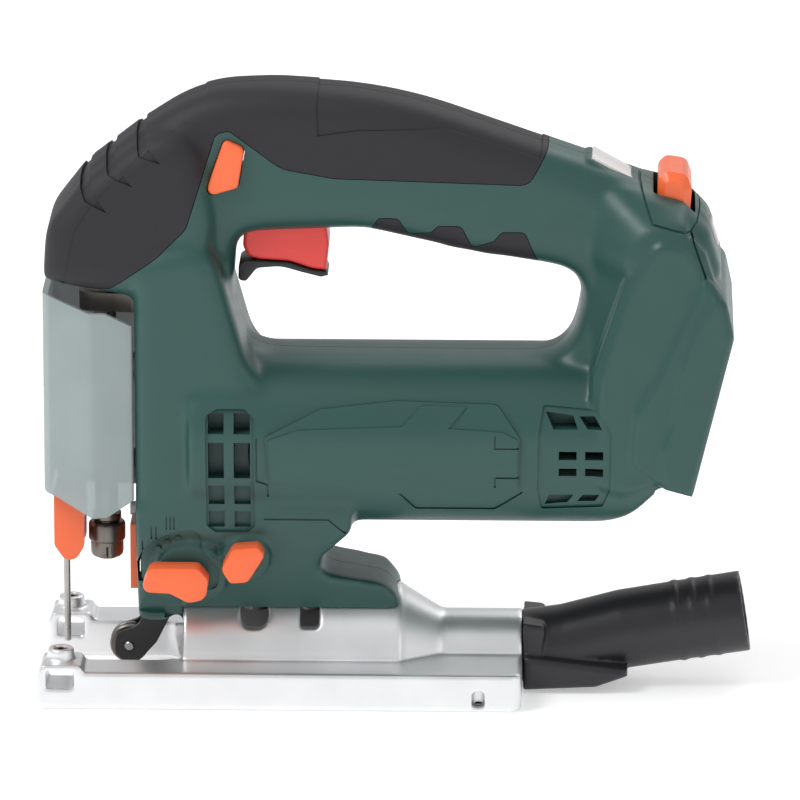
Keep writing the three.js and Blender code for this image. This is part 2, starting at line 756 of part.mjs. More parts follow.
function addBladeClamp() {
  const centre = [PLUNGER_X, 0, 0];
  const slot = block([PLUNGER_X - 4.2, -0.8, 30], [PLUNGER_X + 4.2, 0.8, 52.4]);
  const plunger = turned("z", centre, [
    [0, 56.4],
    [2.6, 56.4],
    [2.6, 60],
    [PLUNGER_R, 61],
    [PLUNGER_R, 152],
    [0, 152],
  ], 24);
  const yokeZ = GEAR_Z;
  const yoke = union(
    block([-87.2, -18, yokeZ - 5.6], [-82.4, 18, yokeZ + 5.6]),
    block([PLUNGER_X, -3.2, yokeZ - 4.5], [-86, 3.2, yokeZ + 4.5]),
  ).subtract(block([-90, -15.4, yokeZ - 3.3], [-82, 15.4, yokeZ + 3.3]));
  const yokeWeb = block([-89.4, -9, yokeZ - 4.5], [-87, 9, yokeZ + 4.5]);
  add("plunger", union(plunger, yoke, yokeWeb), STEEL);
  const body = turned("z", centre, [
    [0, 43.4],
    [3.6, 43.4],
    [4.2, 44.4],
    [4.2, 57],
    [5, 57.6],
    [5, 59.6],
    [2.9, 59.6],
    [2.9, 56],
    [0, 56],
  ], 24);
  add("blade_clamp_body", body.subtract(slot), DARK_STEEL);
  const sleeve = turned("z", centre, [
    [4.5, 44.8],
    [5, 44.2],
    [CLAMP_R, 46],
    [CLAMP_R, 50],
    [6.4, 50.8],
    [6.4, 55.6],
    [CLAMP_R, 56.6],
    [4.5, 56.6],
  ], 24);
  add("blade_clamp_sleeve", sleeve.subtract(slot), DARK_STEEL);
}

function addReleaseLever() {
  const side = outline([
    [-117.5, 50, 3],
    [-114, 44.8, 3],
    [-110, 44.8, 3],
    [-107.2, 49.5, 2],
    [-107.2, RELEASE_Z + 2.6, 2],
    [-117.5, RELEASE_Z + 2.6, 3],
  ]);
  const lever = without(
    alongY(side, -9, 9),
    block([-115.5, -4.4, 40], [-100, 4.4, 80]),
    block([-120, -4.4, 56], [-114, 4.4, 80]),
    rod("z", [PLUNGER_X, 0, 0], 6.4 + PLAY, 40, 80),
    rod("y", [RELEASE_X, 0, RELEASE_Z], 1.5 + FIT, -12, 12),
  );
  add("blade_release_lever", lever, ORANGE);
  add("release_pin", rod("y", [RELEASE_X, 0, RELEASE_Z], 1.5, -8.6, 8.6, 16), STEEL);
  add("guard_rod", rod("z", [ROD_X, 0, 0], ROD_R, 12.7, ROD_TOP, 12), STEEL);
}

// ---- Gear case and drive ----
const SHELF_LOW = [73, 79.4];
const SHELF_HIGH = [134.2, 140.6];
const CASE_X = [-71.6, -66.6];

function addGearCase() {
  const plate = outline([
    [-20, 64],
    [20, 64],
    [23.4, 72],
    [23.4, 128],
    [18, SHELF_HIGH[1]],
    [-18, SHELF_HIGH[1]],
    [-23.4, 128],
    [-23.4, 72],
  ]);
  const shelf = ([low, high], half) => {
    const shape = outline([
      [CASE_X[0] + 1, half],
      [-90, half],
      [PLUNGER_X - 8.5, 8.5, 4],
      [PLUNGER_X - 8.5, -8.5, 4],
      [-90, -half],
      [CASE_X[0] + 1, -half],
    ]);
    return alongZ(shape, low, high);
  };
  const lug = block([ROD_X - 2.6, -4, RELEASE_Z - 3.4], [RELEASE_X + 2.8, 4, SHELF_LOW[1]]);
  const bushHole = PLUNGER_R + BUSH_WALL + FIT * 2;
  const gearCase = without(
    union(alongX(plate, ...CASE_X), shelf(SHELF_LOW, 11), shelf(SHELF_HIGH, 11), lug),
    rod("z", [PLUNGER_X, 0, 0], bushHole, 60, 145, 24),
    rod("x", [0, 0, MOTOR_Z], 9 + FIT, -80, -60, 28),
    rod("x", [0, 0, GEAR_Z], 4 + FIT, -80, -60, 24),
    rod("z", [ROD_X, 0, 0], ROD_R + FIT, 60, ROD_TOP + FIT, 12),
    rod("y", [RELEASE_X, 0, RELEASE_Z], 1.5 + FIT, -12, 12),
  );
  add("gear_case", gearCase, CAST);
  for (const [name, [low, high]] of [["lower", SHELF_LOW], ["upper", SHELF_HIGH]])
    add(
      `plunger_bush_${name}`,
      ring("z", [PLUNGER_X, 0, 0], PLUNGER_R + BUSH_WALL + FIT, PLUNGER_R + FIT, low, high, 24),
      BRASS,
    );
}

// A spur gear: root disc, with one tapered block for each tooth.
function gearShape(teeth, phase) {
  const pitch = (GEAR_MODULE * teeth) / 2;
  const root = pitch - 1.15 * GEAR_MODULE;
  const tip = pitch + 0.85 * GEAR_MODULE;
  const step = (Math.PI * 2) / teeth;
  const shape = new THREE.Shape();
  const width = { root: 0.33, tip: 0.13 };
  for (let i = 0; i < teeth; i++) {
    const middle = i * step + phase;
    const corners = [
      [root, -width.root],
      [tip, -width.tip],
      [tip, width.tip],
      [root, width.root],
    ];
    corners.forEach(([r, share], k) => {
      const angle = middle + share * step;
      const point = [r * Math.cos(angle), r * Math.sin(angle)];
      if (i || k) shape.lineTo(...point);
      else shape.moveTo(...point);
    });
  }
  shape.closePath();
  return shape;
}

function addDrive() {
  const down = -Math.PI / 2;
  const gearStep = (Math.PI * 2) / GEAR_TEETH;
  const gear = union(
    alongX(gearShape(GEAR_TEETH, down + gearStep / 2), GEAR_X, GEAR_X + GEAR_WIDTH),
    rod("x", [0, 0, 0], 7, GEAR_X, GEAR_X + GEAR_WIDTH + 1.2, 24),
  ).subtract(rod("x", [0, 0, 0], 4.05, GEAR_X - 1, GEAR_X + 10, 24));
  add("drive_gear", gear.translate(0, 0, GEAR_Z), STEEL);
  const shaft = rod("x", [0, 0, GEAR_Z], 4, GEAR_X + 0.5, CASE_X[1], 24);
  add("gear_shaft", shaft, STEEL);
  const crank = [0, STROKE / 2, GEAR_Z];
  add("eccentric_pin", rod("x", crank, 2.9, GEAR_X - 1.8, GEAR_X - FIT, 16), STEEL);
  const up = Math.PI / 2;
  const pinion = alongX(gearShape(PINION_TEETH, up), GEAR_X - 0.4, GEAR_X + GEAR_WIDTH + 0.6);
  const bore = rod("x", [0, 0, 0], 1.8 + FIT, GEAR_X - 2, GEAR_X + 10, 16);
  add("pinion", pinion.subtract(bore).translate(0, 0, MOTOR_Z), STEEL);
}

function addMotor() {
  const centre = [0, 0, MOTOR_Z];
  const rotor = turned("x", centre, [
    [0, GEAR_X],
    [1.8, GEAR_X],
    [1.8, GEAR_X + GEAR_WIDTH + 1],
    [SHAFT_R, GEAR_X + GEAR_WIDTH + 1.2],
    [SHAFT_R, MOTOR_FRONT_X + 8],
    [ARMATURE_R, MOTOR_FRONT_X + 8],
    [ARMATURE_R, MOTOR_REAR_X - 22],
    [SHAFT_R, MOTOR_REAR_X - 22],
    [SHAFT_R, MOTOR_REAR_X - 16],
    [9, MOTOR_REAR_X - 16],
    [9, MOTOR_REAR_X - 6],
    [SHAFT_R, MOTOR_REAR_X - 6],
    [SHAFT_R, MOTOR_REAR_X + 7],
    [0, MOTOR_REAR_X + 7],
  ], 24);
  add("rotor", rotor, COPPER);
  let fan = ring("x", centre, 12.8, SHAFT_R + FIT, -40, -38);
  for (let i = 0; i < 8; i++) {
    const blade = block([-45, -0.7, 5], [-39, 0.7, 12.6]).rotate([i * 45, 0, 0]);
    fan = fan.add(blade.translate(0, 0, MOTOR_Z));
  }
  add("fan", fan, BLACK);
  const can = without(
    rod("x", centre, MOTOR_R, MOTOR_FRONT_X, MOTOR_REAR_X, 36),
    rod("x", centre, MOTOR_R - MOTOR_WALL, MOTOR_FRONT_X - 1, MOTOR_REAR_X - MOTOR_WALL, 36),
    rod("x", centre, 8 + FIT, MOTOR_REAR_X - 5, MOTOR_REAR_X + 1, 28),
  );
  add("motor_can", can, STEEL);
  add("bearing_front", ring("x", centre, 9, SHAFT_R + 0.05, CASE_X[0], CASE_X[1]), STEEL);
  const rearSpan = [MOTOR_REAR_X - 2.4, MOTOR_REAR_X + 3.4];
  add("bearing_rear", ring("x", centre, 8, SHAFT_R + 0.05, ...rearSpan), STEEL);
  const card = ring("x", centre, MOTOR_R - MOTOR_WALL - FIT, 9 + PLAY, MOTOR_REAR_X - 13, MOTOR_REAR_X - 9);
  add("brush_card", card, BLACK);
}

// ---- Pendulum: fork, axle and grooved guide roller ----
function addPendulum() {
  const arm = outline([
    [FORK_X - 4.2, FORK_Z + 1, 2],
    [FORK_X + 3.6, FORK_Z + 3.6, 3],
    [FORK_X + 4, FORK_Z - 6, 3],
    [ROLLER_X + 9.6, ROLLER_Z + 1.6, 5],
    [ROLLER_X + 2.4, ROLLER_Z - 6.4, 4],
    [ROLLER_X - 5, ROLLER_Z - 4, 4],
    [ROLLER_X - 4.6, ROLLER_Z + 4.6, 4],
    [ROLLER_X + 3.4, ROLLER_Z + 7.4, 4],
  ]);
  const gapHalf = ROLLER_HALF + PLAY;
  const gap = outline([
    [ROLLER_X - 9, ROLLER_Z - 9],
    [ROLLER_X + 10.4, ROLLER_Z - 9],
    [ROLLER_X + 10.4, ROLLER_Z + 9.4],
    [ROLLER_X - 9, ROLLER_Z + 9.4],
  ]);
  const fork = without(
    alongY(arm, -5.4, 5.4),
    alongY(gap, -gapHalf, gapHalf),
    rod("y", [ROLLER_X, 0, ROLLER_Z], 1.6 + FIT, -8, 8, 16),
  );
  add("pendulum_fork", fork, BLACK);
  add("roller_axle", rod("y", [ROLLER_X, 0, ROLLER_Z], 1.6, -5.8, 5.8, 16), STEEL);
  const roller = turned("y", [ROLLER_X, 0, ROLLER_Z], [
    [1.65, -ROLLER_HALF],
    [ROLLER_R, -ROLLER_HALF],
    [ROLLER_R, -0.9],
    [ROLLER_R - 1.4, -0.6],
    [ROLLER_R - 1.4, 0.6],
    [ROLLER_R, 0.9],
    [ROLLER_R, ROLLER_HALF],
    [1.65, ROLLER_HALF],
  ], 20);
  add("guide_roller", roller, DARK_STEEL);
}

function addFrontTrim() {
  const nozzle = block([COLUMN_X - 2.8, -7, 34], [COLUMN_X - FIT, 7, 57]);
  add("air_nozzle", nozzle.subtract(block([COLUMN_X - 4, -4.5, 32], [COLUMN_X - 1.2, 4.5, 50])), ORANGE);
  const lens = rod("x", [0, 0, 61], 2.4, COLUMN_X - 3, COLUMN_X - FIT, 16);
  add("led_lens", lens, WHITE);
}

// ---- Electrics ----
function addElectrics() {
  add("switch_module", block([-46, -9, 172 + TRIGGER_TRAVEL + PLAY], [-20, 9, 198]), BLACK);
  add("electronics_module", block([43, -18, 76], [57, 18, 108]), BLACK);
  const floorX = (z) => rearX(z) - CHANNEL_DEPTH;
  const strip = (from, to, low, high) =>
    outline([
      [floorX(high) + from, high],
      [floorX(low) + from, low],
      [floorX(low) + to, low],
      [floorX(high) + to, high],
    ]);
  const blockPiece = alongY(strip(FIT, 5, 94, 118), -16, 16);
  const sockets = [-9, 9].map((y) => alongY(strip(3.2, 6, 92, 120), y - 0.7, y + 0.7));
  add("terminal_block", without(blockPiece, ...sockets), BLACK);
  for (const [name, y] of [["positive", -9], ["negative", 9]])
    add(`contact_${name}`, alongY(strip(3.5, 9.5, 97, 115), y - 0.4, y + 0.4), BRASS);
  const runX = CHANNEL_DEPTH - 5;
  for (const [name, sign] of [["left", -1], ["right", 1]]) {
    const inner = sign * (CHANNEL_HALF - 3.4);
    const outer = sign * (CHANNEL_HALF - FIT);
    const side = strip(runX, runX + 3, FOOT_BOTTOM_Z + 3, 121);
    const rail = alongY(side, Math.min(inner, outer), Math.max(inner, outer));
    add(`battery_rail_${name}`, rail, STEEL);
  }
}

// ---- Base ----
const BASE_REAR_X = BASE_FRONT_X + BASE_LENGTH;
const FOOT_REAR_X = BASE_FRONT_X + 17;
const GUIDE_X = BASE_FRONT_X + 7.8;
const GUIDE_Y = (RAIL_INNER + BASE_HALF) / 2;

const baseShape = (edge, slotHalf, slotEnd) =>
  outline([
    [BASE_FRONT_X + edge, -BASE_HALF + edge, 2.5],
    [BASE_REAR_X - edge, -BASE_HALF + edge, 4],
    [BASE_REAR_X - edge, BASE_HALF - edge, 4],
    [BASE_FRONT_X + edge, BASE_HALF - edge, 2.5],
    [BASE_FRONT_X + edge, slotHalf, 1],
    [slotEnd, slotHalf, 6],
    [slotEnd, -slotHalf, 6],
    [BASE_FRONT_X + edge, -slotHalf, 1],
  ]);

function addBase() {
  const slotEnd = SADDLE_FRONT_X - 3;
  const plate = alongZ(baseShape(0, RAIL_INNER, slotEnd), 0, DECK_Z);
  const footSide = outline([
    [BASE_FRONT_X, 0.5],
    [BASE_FRONT_X, 11, 1],
    [BASE_FRONT_X + 1.4, 15.8, 1],
    [FOOT_REAR_X - 2, 15.8, 1],
    [FOOT_REAR_X, 11],
    [FOOT_REAR_X, 0.5],
  ]);
  const barrel = (spare, front, rear) =>
    turned("x", [0, 0, TILT_Z], [
      [0, front],
      [SADDLE_R - spare, front],
      [SADDLE_R - spare, SADDLE_REAR_X - (spare ? 2 : 0)],
      [DUCT_R - (spare ? DUCT_WALL : 0), SADDLE_REAR_X + 13.5],
      [DUCT_R - (spare ? DUCT_WALL : 0), rear],
      [0, rear],
    ], 36);
  const half = [[-200, -60, 3], [200, 60, 60]];
  let base = union(plate, barrel(0, SADDLE_FRONT_X, BASE_REAR_X).intersect(block(...half)));
  const cuts = [barrel(SADDLE_WALL, SADDLE_FRONT_X - 10, BASE_REAR_X + 1)];
  for (const side of [-1, 1]) {
    const low = side < 0 ? -BASE_HALF : RAIL_INNER;
    const high = side < 0 ? -RAIL_INNER : BASE_HALF;
    base = base.add(alongY(footSide, low, high));
    base = base.add(rod("z", [GUIDE_X, side * GUIDE_Y, 0], GUIDE_BOSS_R, 12, GUIDE_BOSS_Z, 24));
    cuts.push(block([GUIDE_X - 4.8, low - 1, 7.2], [GUIDE_X + 4.8, high + 1, 13.8]));
    cuts.push(rod("z", [GUIDE_X, side * GUIDE_Y, 0], GUIDE_SCREW_R + FIT, 13, 22, 16));
    const slotLow = side < 0 ? -BASE_HALF - 1 : BASE_HALF - 4;
    cuts.push(block([27.7, slotLow, 1.4], [31.8, slotLow + 5, 7.5]));
    add(
      `guide_set_screw_${side < 0 ? "left" : "right"}`,
      rod("z", [GUIDE_X, side * GUIDE_Y, 0], GUIDE_SCREW_R, 14.4, 19.4, 16).subtract(
        rod("z", [GUIDE_X, side * GUIDE_Y, 0], 1.2, 17, 20, 6),
      ),
      DARK_STEEL,
    );
  }
  const slots = [[-52.5, -42.9], [-31.2, -25]];
  for (const [x0, x1] of slots) cuts.push(block([x0, -40, 22], [x1, 40, 50]));
  cuts.push(alongZ(baseShape(4 - FIT, RAIL_INNER + 3, slotEnd + 3), -1, SOLE_INSERT + FIT));
  for (const side of [-1, 1]) {
    const inner = side < 0 ? -BASE_HALF + 6 : RAIL_INNER + 4;
    const outer = side < 0 ? -RAIL_INNER - 4 : BASE_HALF - 6;
    cuts.push(block([FOOT_REAR_X + 4, inner, -1], [BASE_REAR_X - 8, outer, 9]));
  }
  add("base_plate", without(base, ...cuts), CAST);
  const insert = alongZ(baseShape(4, RAIL_INNER + 3.4, slotEnd + 3.4), 0, SOLE_INSERT);
  add("sole_plate", insert, STEEL);
  for (const [name, x] of Object.entries(CLAMP_BOLTS)) {
    const bolt = turned("z", [x, 0, 0], [
      [0, CLAMP_HEAD_TOP - 3.6],
      [CLAMP_HEAD_R, CLAMP_HEAD_TOP - 3.6],
      [CLAMP_HEAD_R, CLAMP_HEAD_TOP],
      [CLAMP_BOLT_R, CLAMP_HEAD_TOP],
      [CLAMP_BOLT_R, CLAMP_BOLT_TOP],
      [0, CLAMP_BOLT_TOP],
    ], 20);
    add(`clamp_bolt_${name}`, bolt, DARK_STEEL);
  }
}

// ---- Dust nozzle: a spigot in the duct, a wide root and a round hose end ----
function addNozzle() {
  const rootX = BASE_REAR_X + FIT;
  const path = (from, to) =>
    new THREE.CatmullRomCurve3(
      [
        [from, 0, 10.6],
        [60, 0, 13.2],
        [80, 0, 18.6],
        [100, 0, 22],
        [to, 0, to * 0.159 + 6.2],
      ].map((p) => new THREE.Vector3(...p)),
    );
  const sweep = (radius, from, to, steps) =>
    solid(
      new THREE.ExtrudeGeometry(circle(0, 0, radius), {
        steps,
        extrudePath: path(from, to),
        curveSegments: 10,
        bevelEnabled: false,
      }),
    );
  const end = 121.6;
  const wedgeSide = outline([
    [rootX, 0.8],
    [70, 2],
    [81, 6.4],
    [81, 9],
    [rootX, 13.4],
  ]);
  const headSide = outline([
    [rootX, 1],
    [rootX + 5, 1.4],
    [rootX + 8, 23.4],
    [rootX, 24.2],
  ]);
  const outer = union(
    sweep(NOZZLE_R, rootX + 3.6, end, 8),
    alongY(wedgeSide, -17.5, 17.5),
    alongY(headSide, -14.5, 14.5),
    rod("x", [0, 0, TILT_Z], DUCT_R - DUCT_WALL - FIT, BASE_REAR_X - 10, rootX + 1, 32),
  );
  const bore = union(
    sweep(NOZZLE_R - NOZZLE_WALL, rootX + 5, end + 3, 8),
    rod("x", [0, 0, TILT_Z], DUCT_R - DUCT_WALL - FIT - 2, BASE_REAR_X - 12, rootX + 8, 28),
  );
  const below = block([0, -60, -20], [140, 60, 0.6]);
  const soleRoom = block([0, -60, -20], [rootX - 0.1, 60, SOLE_INSERT + FIT * 2]);
  const clipped = without(outer, bore, below, soleRoom);
  add("dust_nozzle", clipped, SOFT_BLACK);
}

addHousing();
addInlays();
addScrews();
addControls();
addGuard();
addBladeClamp();
addReleaseLever();
addGearCase();
addDrive();
addMotor();
addPendulum();
addFrontTrim();
addElectrics();
addBase();
addNozzle();

export default tool;
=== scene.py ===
"""Looks of a cordless jigsaw: moulded housing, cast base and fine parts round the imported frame."""
import math

import bmesh
import bpy
from bpy.props import FloatProperty, FloatVectorProperty, IntProperty, PointerProperty
from mathutils import Matrix, Vector


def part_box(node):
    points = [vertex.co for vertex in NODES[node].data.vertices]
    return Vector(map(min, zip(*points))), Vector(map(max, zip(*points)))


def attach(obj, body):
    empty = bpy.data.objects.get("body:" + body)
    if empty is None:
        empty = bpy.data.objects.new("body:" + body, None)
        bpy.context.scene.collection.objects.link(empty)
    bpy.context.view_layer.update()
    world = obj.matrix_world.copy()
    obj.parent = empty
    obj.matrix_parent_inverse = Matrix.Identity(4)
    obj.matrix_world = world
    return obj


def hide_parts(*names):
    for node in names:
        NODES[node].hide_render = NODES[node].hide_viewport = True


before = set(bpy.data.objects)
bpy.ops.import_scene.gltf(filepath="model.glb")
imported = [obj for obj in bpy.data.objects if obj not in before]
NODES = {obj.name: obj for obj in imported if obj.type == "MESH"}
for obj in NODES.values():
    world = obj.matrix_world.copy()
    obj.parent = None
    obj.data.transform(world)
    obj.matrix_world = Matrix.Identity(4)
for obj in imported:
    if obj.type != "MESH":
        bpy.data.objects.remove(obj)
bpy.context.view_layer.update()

bl_info = {
    "name": "Cordless Jigsaw",
    "version": (1, 0, 0),
    "blender": (4, 5, 0),
    "location": "View3D > Sidebar > Jigsaw",
    "description": "Builds the visible pieces of a cordless jigsaw round its packed frame",
    "category": "Add Mesh",
}

MM = 0.001


def low(node):
    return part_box(node)[0] / MM


def high(node):
    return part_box(node)[1] / MM


def middle(node):
    return (low(node) + high(node)) / 2


# ---- Places taken from the frame, in millimetres ----
SHELL_LOW, SHELL_HIGH = low("housing_left"), high("housing_right")
FOOT_HALF = SHELL_HIGH.y
FRONT_X, REAR_X, CROWN_Z = SHELL_LOW.x, SHELL_HIGH.x, SHELL_HIGH.z
COLUMN_X = high("chip_guard").x + 0.5
BASE_LOW, BASE_HIGH = low("base_plate"), high("base_plate")
TILT_Z = BASE_HIGH.z - 24
MOTOR = middle("motor_can")
PLUNGER_X = middle("blade_clamp_body").x
ROLLER = middle("guide_roller")
GUIDE = middle("guide_set_screw_left")
ROD_X = middle("guard_rod").x

SEAM = 0.15  # half of the gap between the housing halves
GAP = 0.25  # round an overmould
WHOLE = 70  # reaches past both sides of the tool


# ---- Sizes and colours that a user would change ----
def colour(name, description, default):
    return FloatVectorProperty(
        name=name, description=description, default=default, subtype="COLOR", size=3, min=0, max=1
    )


def length(name, description, default):
    return FloatProperty(name=name, description=description, default=default * MM, unit="LENGTH", precision=4)


class JigsawHousingSettings(bpy.types.PropertyGroup):
    shell: colour("Shell", "Colour of the moulded housing", (0.018, 0.072, 0.063))
    grip: colour("Grip", "Colour of the soft overmould", (0.016, 0.0145, 0.018))
    detail: length("Detail", "Size of the grid that the mouldings are blended on", 0.95)
    blending: IntProperty(name="Blending", description="Passes that round the moulding", default=18, min=0)


class JigsawControlSettings(bpy.types.PropertyGroup):
    orange: colour("Orange", "Colour of levers and buttons", (0.92, 0.150, 0.045))
    red: colour("Red", "Colour of the trigger", (0.80, 0.055, 0.045))
    edge: length("Edge", "Rounding of small moulded controls", 0.8)


class JigsawBaseSettings(bpy.types.PropertyGroup):
    cast: colour("Cast metal", "Colour of the die-cast base", (0.80, 0.81, 0.82))
    nozzle: colour("Nozzle", "Colour of the dust nozzle", (0.015, 0.0135, 0.017))
    detail: length("Detail", "Size of the grid that castings are blended on", 0.7)


class JigsawMetalSettings(bpy.types.PropertyGroup):
    steel: colour("Steel", "Colour of ground steel", (0.42, 0.41, 0.40))
    oiled: colour("Oiled steel", "Colour of the blade clamp and the roller", (0.20, 0.18, 0.165))


class JigsawStageSettings(bpy.types.PropertyGroup):
    distance: FloatProperty(name="Distance", description="Camera distance", default=3.0, unit="LENGTH")
    azimuth: FloatProperty(
        name="Azimuth", description="Camera turn about the tool", default=math.radians(1.5), subtype="ANGLE"
    )
    elevation: FloatProperty(
        name="Elevation", description="Camera height angle", default=math.radians(16), subtype="ANGLE"
    )
    light: FloatProperty(name="Light", description="Strength of the room light", default=0.62, min=0)


# ---- Shader maths ----
def connect(tree, socket, value):
    if isinstance(value, Flow):
        tree.links.new(value.socket, socket)
    elif isinstance(value, (tuple, list)) and len(value) == 3 and len(socket.default_value) == 4:
        socket.default_value = (*value, 1)
    else:
        socket.default_value = value


class Flow:
    """A node's output with arithmetic that adds Math nodes."""

    def __init__(self, tree, socket):
        self.tree = tree
        self.socket = socket

    def math(self, kind, *values):
        node = self.tree.nodes.new("ShaderNodeMath")
        node.operation = kind
        for slot, value in zip(node.inputs, values):
            connect(self.tree, slot, value)
        return Flow(self.tree, node.outputs[0])

    def __add__(self, other):
        return self.math("ADD", self, other)

    def __radd__(self, other):
        return self.math("ADD", other, self)

    def __sub__(self, other):
        return self.math("SUBTRACT", self, other)

    def __mul__(self, other):
        return self.math("MULTIPLY", self, other)

    def __rmul__(self, other):
        return self.math("MULTIPLY", other, self)

    def __pow__(self, other):
        return self.math("POWER", self, other)


class Finish:
    """A material on Object coordinates with one Principled shader."""

    def __init__(self, name, **fixed):
        self.material = bpy.data.materials.new(name)
        self.material.use_nodes = True
        self.tree = self.material.node_tree
        self.shader = self.tree.nodes["Principled BSDF"]
        self.place = self.node("ShaderNodeTexCoord", output="Object")
        for socket, value in fixed.items():
            connect(self.tree, self.shader.inputs[socket.replace("_", " ")], value)

    def node(self, kind, settings=(), output=0, **sockets):
        node = self.tree.nodes.new(kind)
        for key, value in dict(settings).items():
            setattr(node, key, value)
        for name, value in sockets.items():
            connect(self.tree, node.inputs[name.replace("_", " ")], value)
        return Flow(self.tree, node.outputs[output])

    def noise(self, size, detail=2.0, stretch=(1, 1, 1)):
        place = self.place
        if stretch != (1, 1, 1):
            place = self.node("ShaderNodeMapping", Vector=place, Scale=stretch)
        return self.node("ShaderNodeTexNoise", Vector=place, Scale=1 / (size * MM), Detail=detail)

    def blend(self, first, second, factor):
        node = self.tree.nodes.new("ShaderNodeMix")
        node.data_type = "RGBA"
        connect(self.tree, node.inputs[0], factor)
        connect(self.tree, node.inputs[6], first)
        connect(self.tree, node.inputs[7], second)
        return Flow(self.tree, node.outputs[2])

    def feed(self, socket, value):
        connect(self.tree, self.shader.inputs[socket], value)

    def bump(self, height, depth, strength=1.0):
        relief = self.node("ShaderNodeBump", Height=height, Distance=depth * MM, Strength=strength)
        self.feed("Normal", relief)


def shade(rgb, factor):
    return tuple(min(1, channel * factor) for channel in rgb)


def spark_plastic(name, rgb, rough=0.42, grain=0.55, depth=0.02, **fixed):
    """Moulded plastic with spark-eroded texture and faint handling marks."""
    finish = Finish(name, **fixed)
    fine = finish.noise(grain, 3)
    cloud = finish.noise(45, 4)
    rub = finish.noise(7, 5, (1, 1, 2.5))
    tone = finish.blend(shade(rgb, 0.9), shade(rgb, 1.1), cloud)
    finish.feed("Base Color", finish.blend(tone, shade(rgb, 1.25), rub ** 6 * 1.5))
    finish.feed("Roughness", rough + 0.14 * (fine - 0.5) - 0.1 * (rub - 0.5))
    finish.bump(fine + 0.4 * rub, depth)
    return finish.material


def soft_rubber(name, rgb):
    """Overmoulded elastomer: matt, with a fine pimple grain."""
    finish = Finish(name, IOR=1.46)
    pimple = finish.node(
        "ShaderNodeTexVoronoi", {"feature": "SMOOTH_F1"}, Vector=finish.place, Scale=1 / (0.9 * MM)
    )
    fine = finish.noise(0.4, 2)
    cloud = finish.noise(30, 4)
    finish.feed("Base Color", finish.blend(shade(rgb, 0.86), shade(rgb, 1.2), cloud))
    finish.feed("Roughness", 0.5 + 0.16 * fine + 0.08 * cloud)
    finish.bump(fine * 0.6 - pimple, 0.03, 0.7)
    return finish.material


def bright_cast(name, rgb):
    """Die-cast aluminium, blasted and bright."""
    finish = Finish(name, Metallic=0.84)
    grain = finish.noise(0.5, 4)
    mottle = finish.noise(14, 5)
    drag = finish.noise(2.2, 3, (0.25, 1, 1))
    finish.feed("Base Color", finish.blend(shade(rgb, 0.92), shade(rgb, 1.08), mottle))
    finish.feed("Roughness", 0.3 + 0.12 * grain + 0.12 * (mottle - 0.5))
    finish.bump(grain * 0.7 + drag * 0.5, 0.02)
    return finish.material


def turned_metal(name, rgb, rough=0.3, stretch=(1, 1, 14), **fixed):
    """Machined metal with fine tool marks and stains."""
    finish = Finish(name, Metallic=1.0, **fixed)
    marks = finish.noise(1.6, 3, stretch)
    stain = finish.noise(5, 5)
    finish.feed("Base Color", finish.blend(shade(rgb, 0.75), shade(rgb, 1.15), stain))
    finish.feed("Roughness", rough + 0.14 * (marks - 0.5) + 0.16 * (stain - 0.5))
    finish.bump(marks, 0.012)
    return finish.material


def frosted_clear(name):
    """Frosted clear plastic, a little milky."""
    finish = Finish(name, IOR=1.5, Specular_IOR_Level=0.6)
    cloud = finish.noise(26, 3)
    scuff = finish.noise(0.7, 3)
    finish.feed("Base Color", finish.blend((0.28, 0.34, 0.34), (0.37, 0.43, 0.43), cloud))
    finish.feed("Roughness", 0.26 + 0.14 * scuff)
    finish.feed("Alpha", 0.72 + 0.1 * cloud)
    finish.bump(scuff, 0.01)
    return finish.material


def blank_label(name, rgb, spot):
    """A pale blank plate, faintly flecked with a second colour."""
    finish = Finish(name, Coat_Weight=0.4)
    grain = finish.noise(1.2, 2)
    finish.feed("Base Color", finish.blend(rgb, spot, grain ** 3 * 0.5))
    finish.feed("Roughness", 0.3 + 0.1 * grain)
    finish.bump(grain, 0.005)
    return finish.material


# ---- Mesh tools ----
def rounded(corners, spare=0.0, steps=5):
    """Outline through [u, v, radius] corners, grown by `spare`, with arcs at the round ones."""
    count = len(corners)
    flat = [Vector(corner[:2]) for corner in corners]
    area = sum(a.cross(b) for a, b in zip(flat, flat[1:] + flat[:1]))
    side = 1 if area > 0 else -1
    points = []
    for i, corner in enumerate(corners):
        before = (flat[i] - flat[i - 1]).normalized()
        after = (flat[(i + 1) % count] - flat[i]).normalized()
        outward = Vector((before.y + after.y, -before.x - after.x)) * side
        here = flat[i] + outward * (2 * spare / outward.length_squared)
        turn = before.cross(after) * side
        radius = (corner[2] if len(corner) > 2 else 0) + (spare if turn > 0 else -spare)
        bend = before.angle_signed(after)
        reach = radius * math.tan(abs(bend) / 2)
        if len(corner) < 3 or radius <= 0 or abs(bend) < 0.02:
            points.append(here)
            continue
        start = here - before * reach
        centre = start + Vector((-before.y, before.x)) * radius * (1 if bend < 0 else -1)
        spoke = start - centre
        for k in range(steps + 1):
            points.append(centre + Matrix.Rotation(-bend * k / steps, 2) @ spoke)
    return points


def place_along(axis):
    """Maps outline (u, v) and depth to model axes."""
    return {
        "x": lambda u, v, w: Vector((w, u, v)),
        "y": lambda u, v, w: Vector((u, w, v)),
        "z": lambda u, v, w: Vector((u, v, w)),
    }[axis]


def slab(points, axis, start, end):
    """A bmesh that extrudes an outline along an axis."""
    bm = bmesh.new()
    put = place_along(axis)
    face = bm.faces.new([bm.verts.new(put(p.x, p.y, start) * MM) for p in points])
    made = bmesh.ops.extrude_face_region(bm, geom=[face])
    verts = [item for item in made["geom"] if isinstance(item, bmesh.types.BMVert)]
    bmesh.ops.translate(bm, verts=verts, vec=put(0, 0, end - start) * MM)
    bmesh.ops.recalc_face_normals(bm, faces=bm.faces)
    return bm


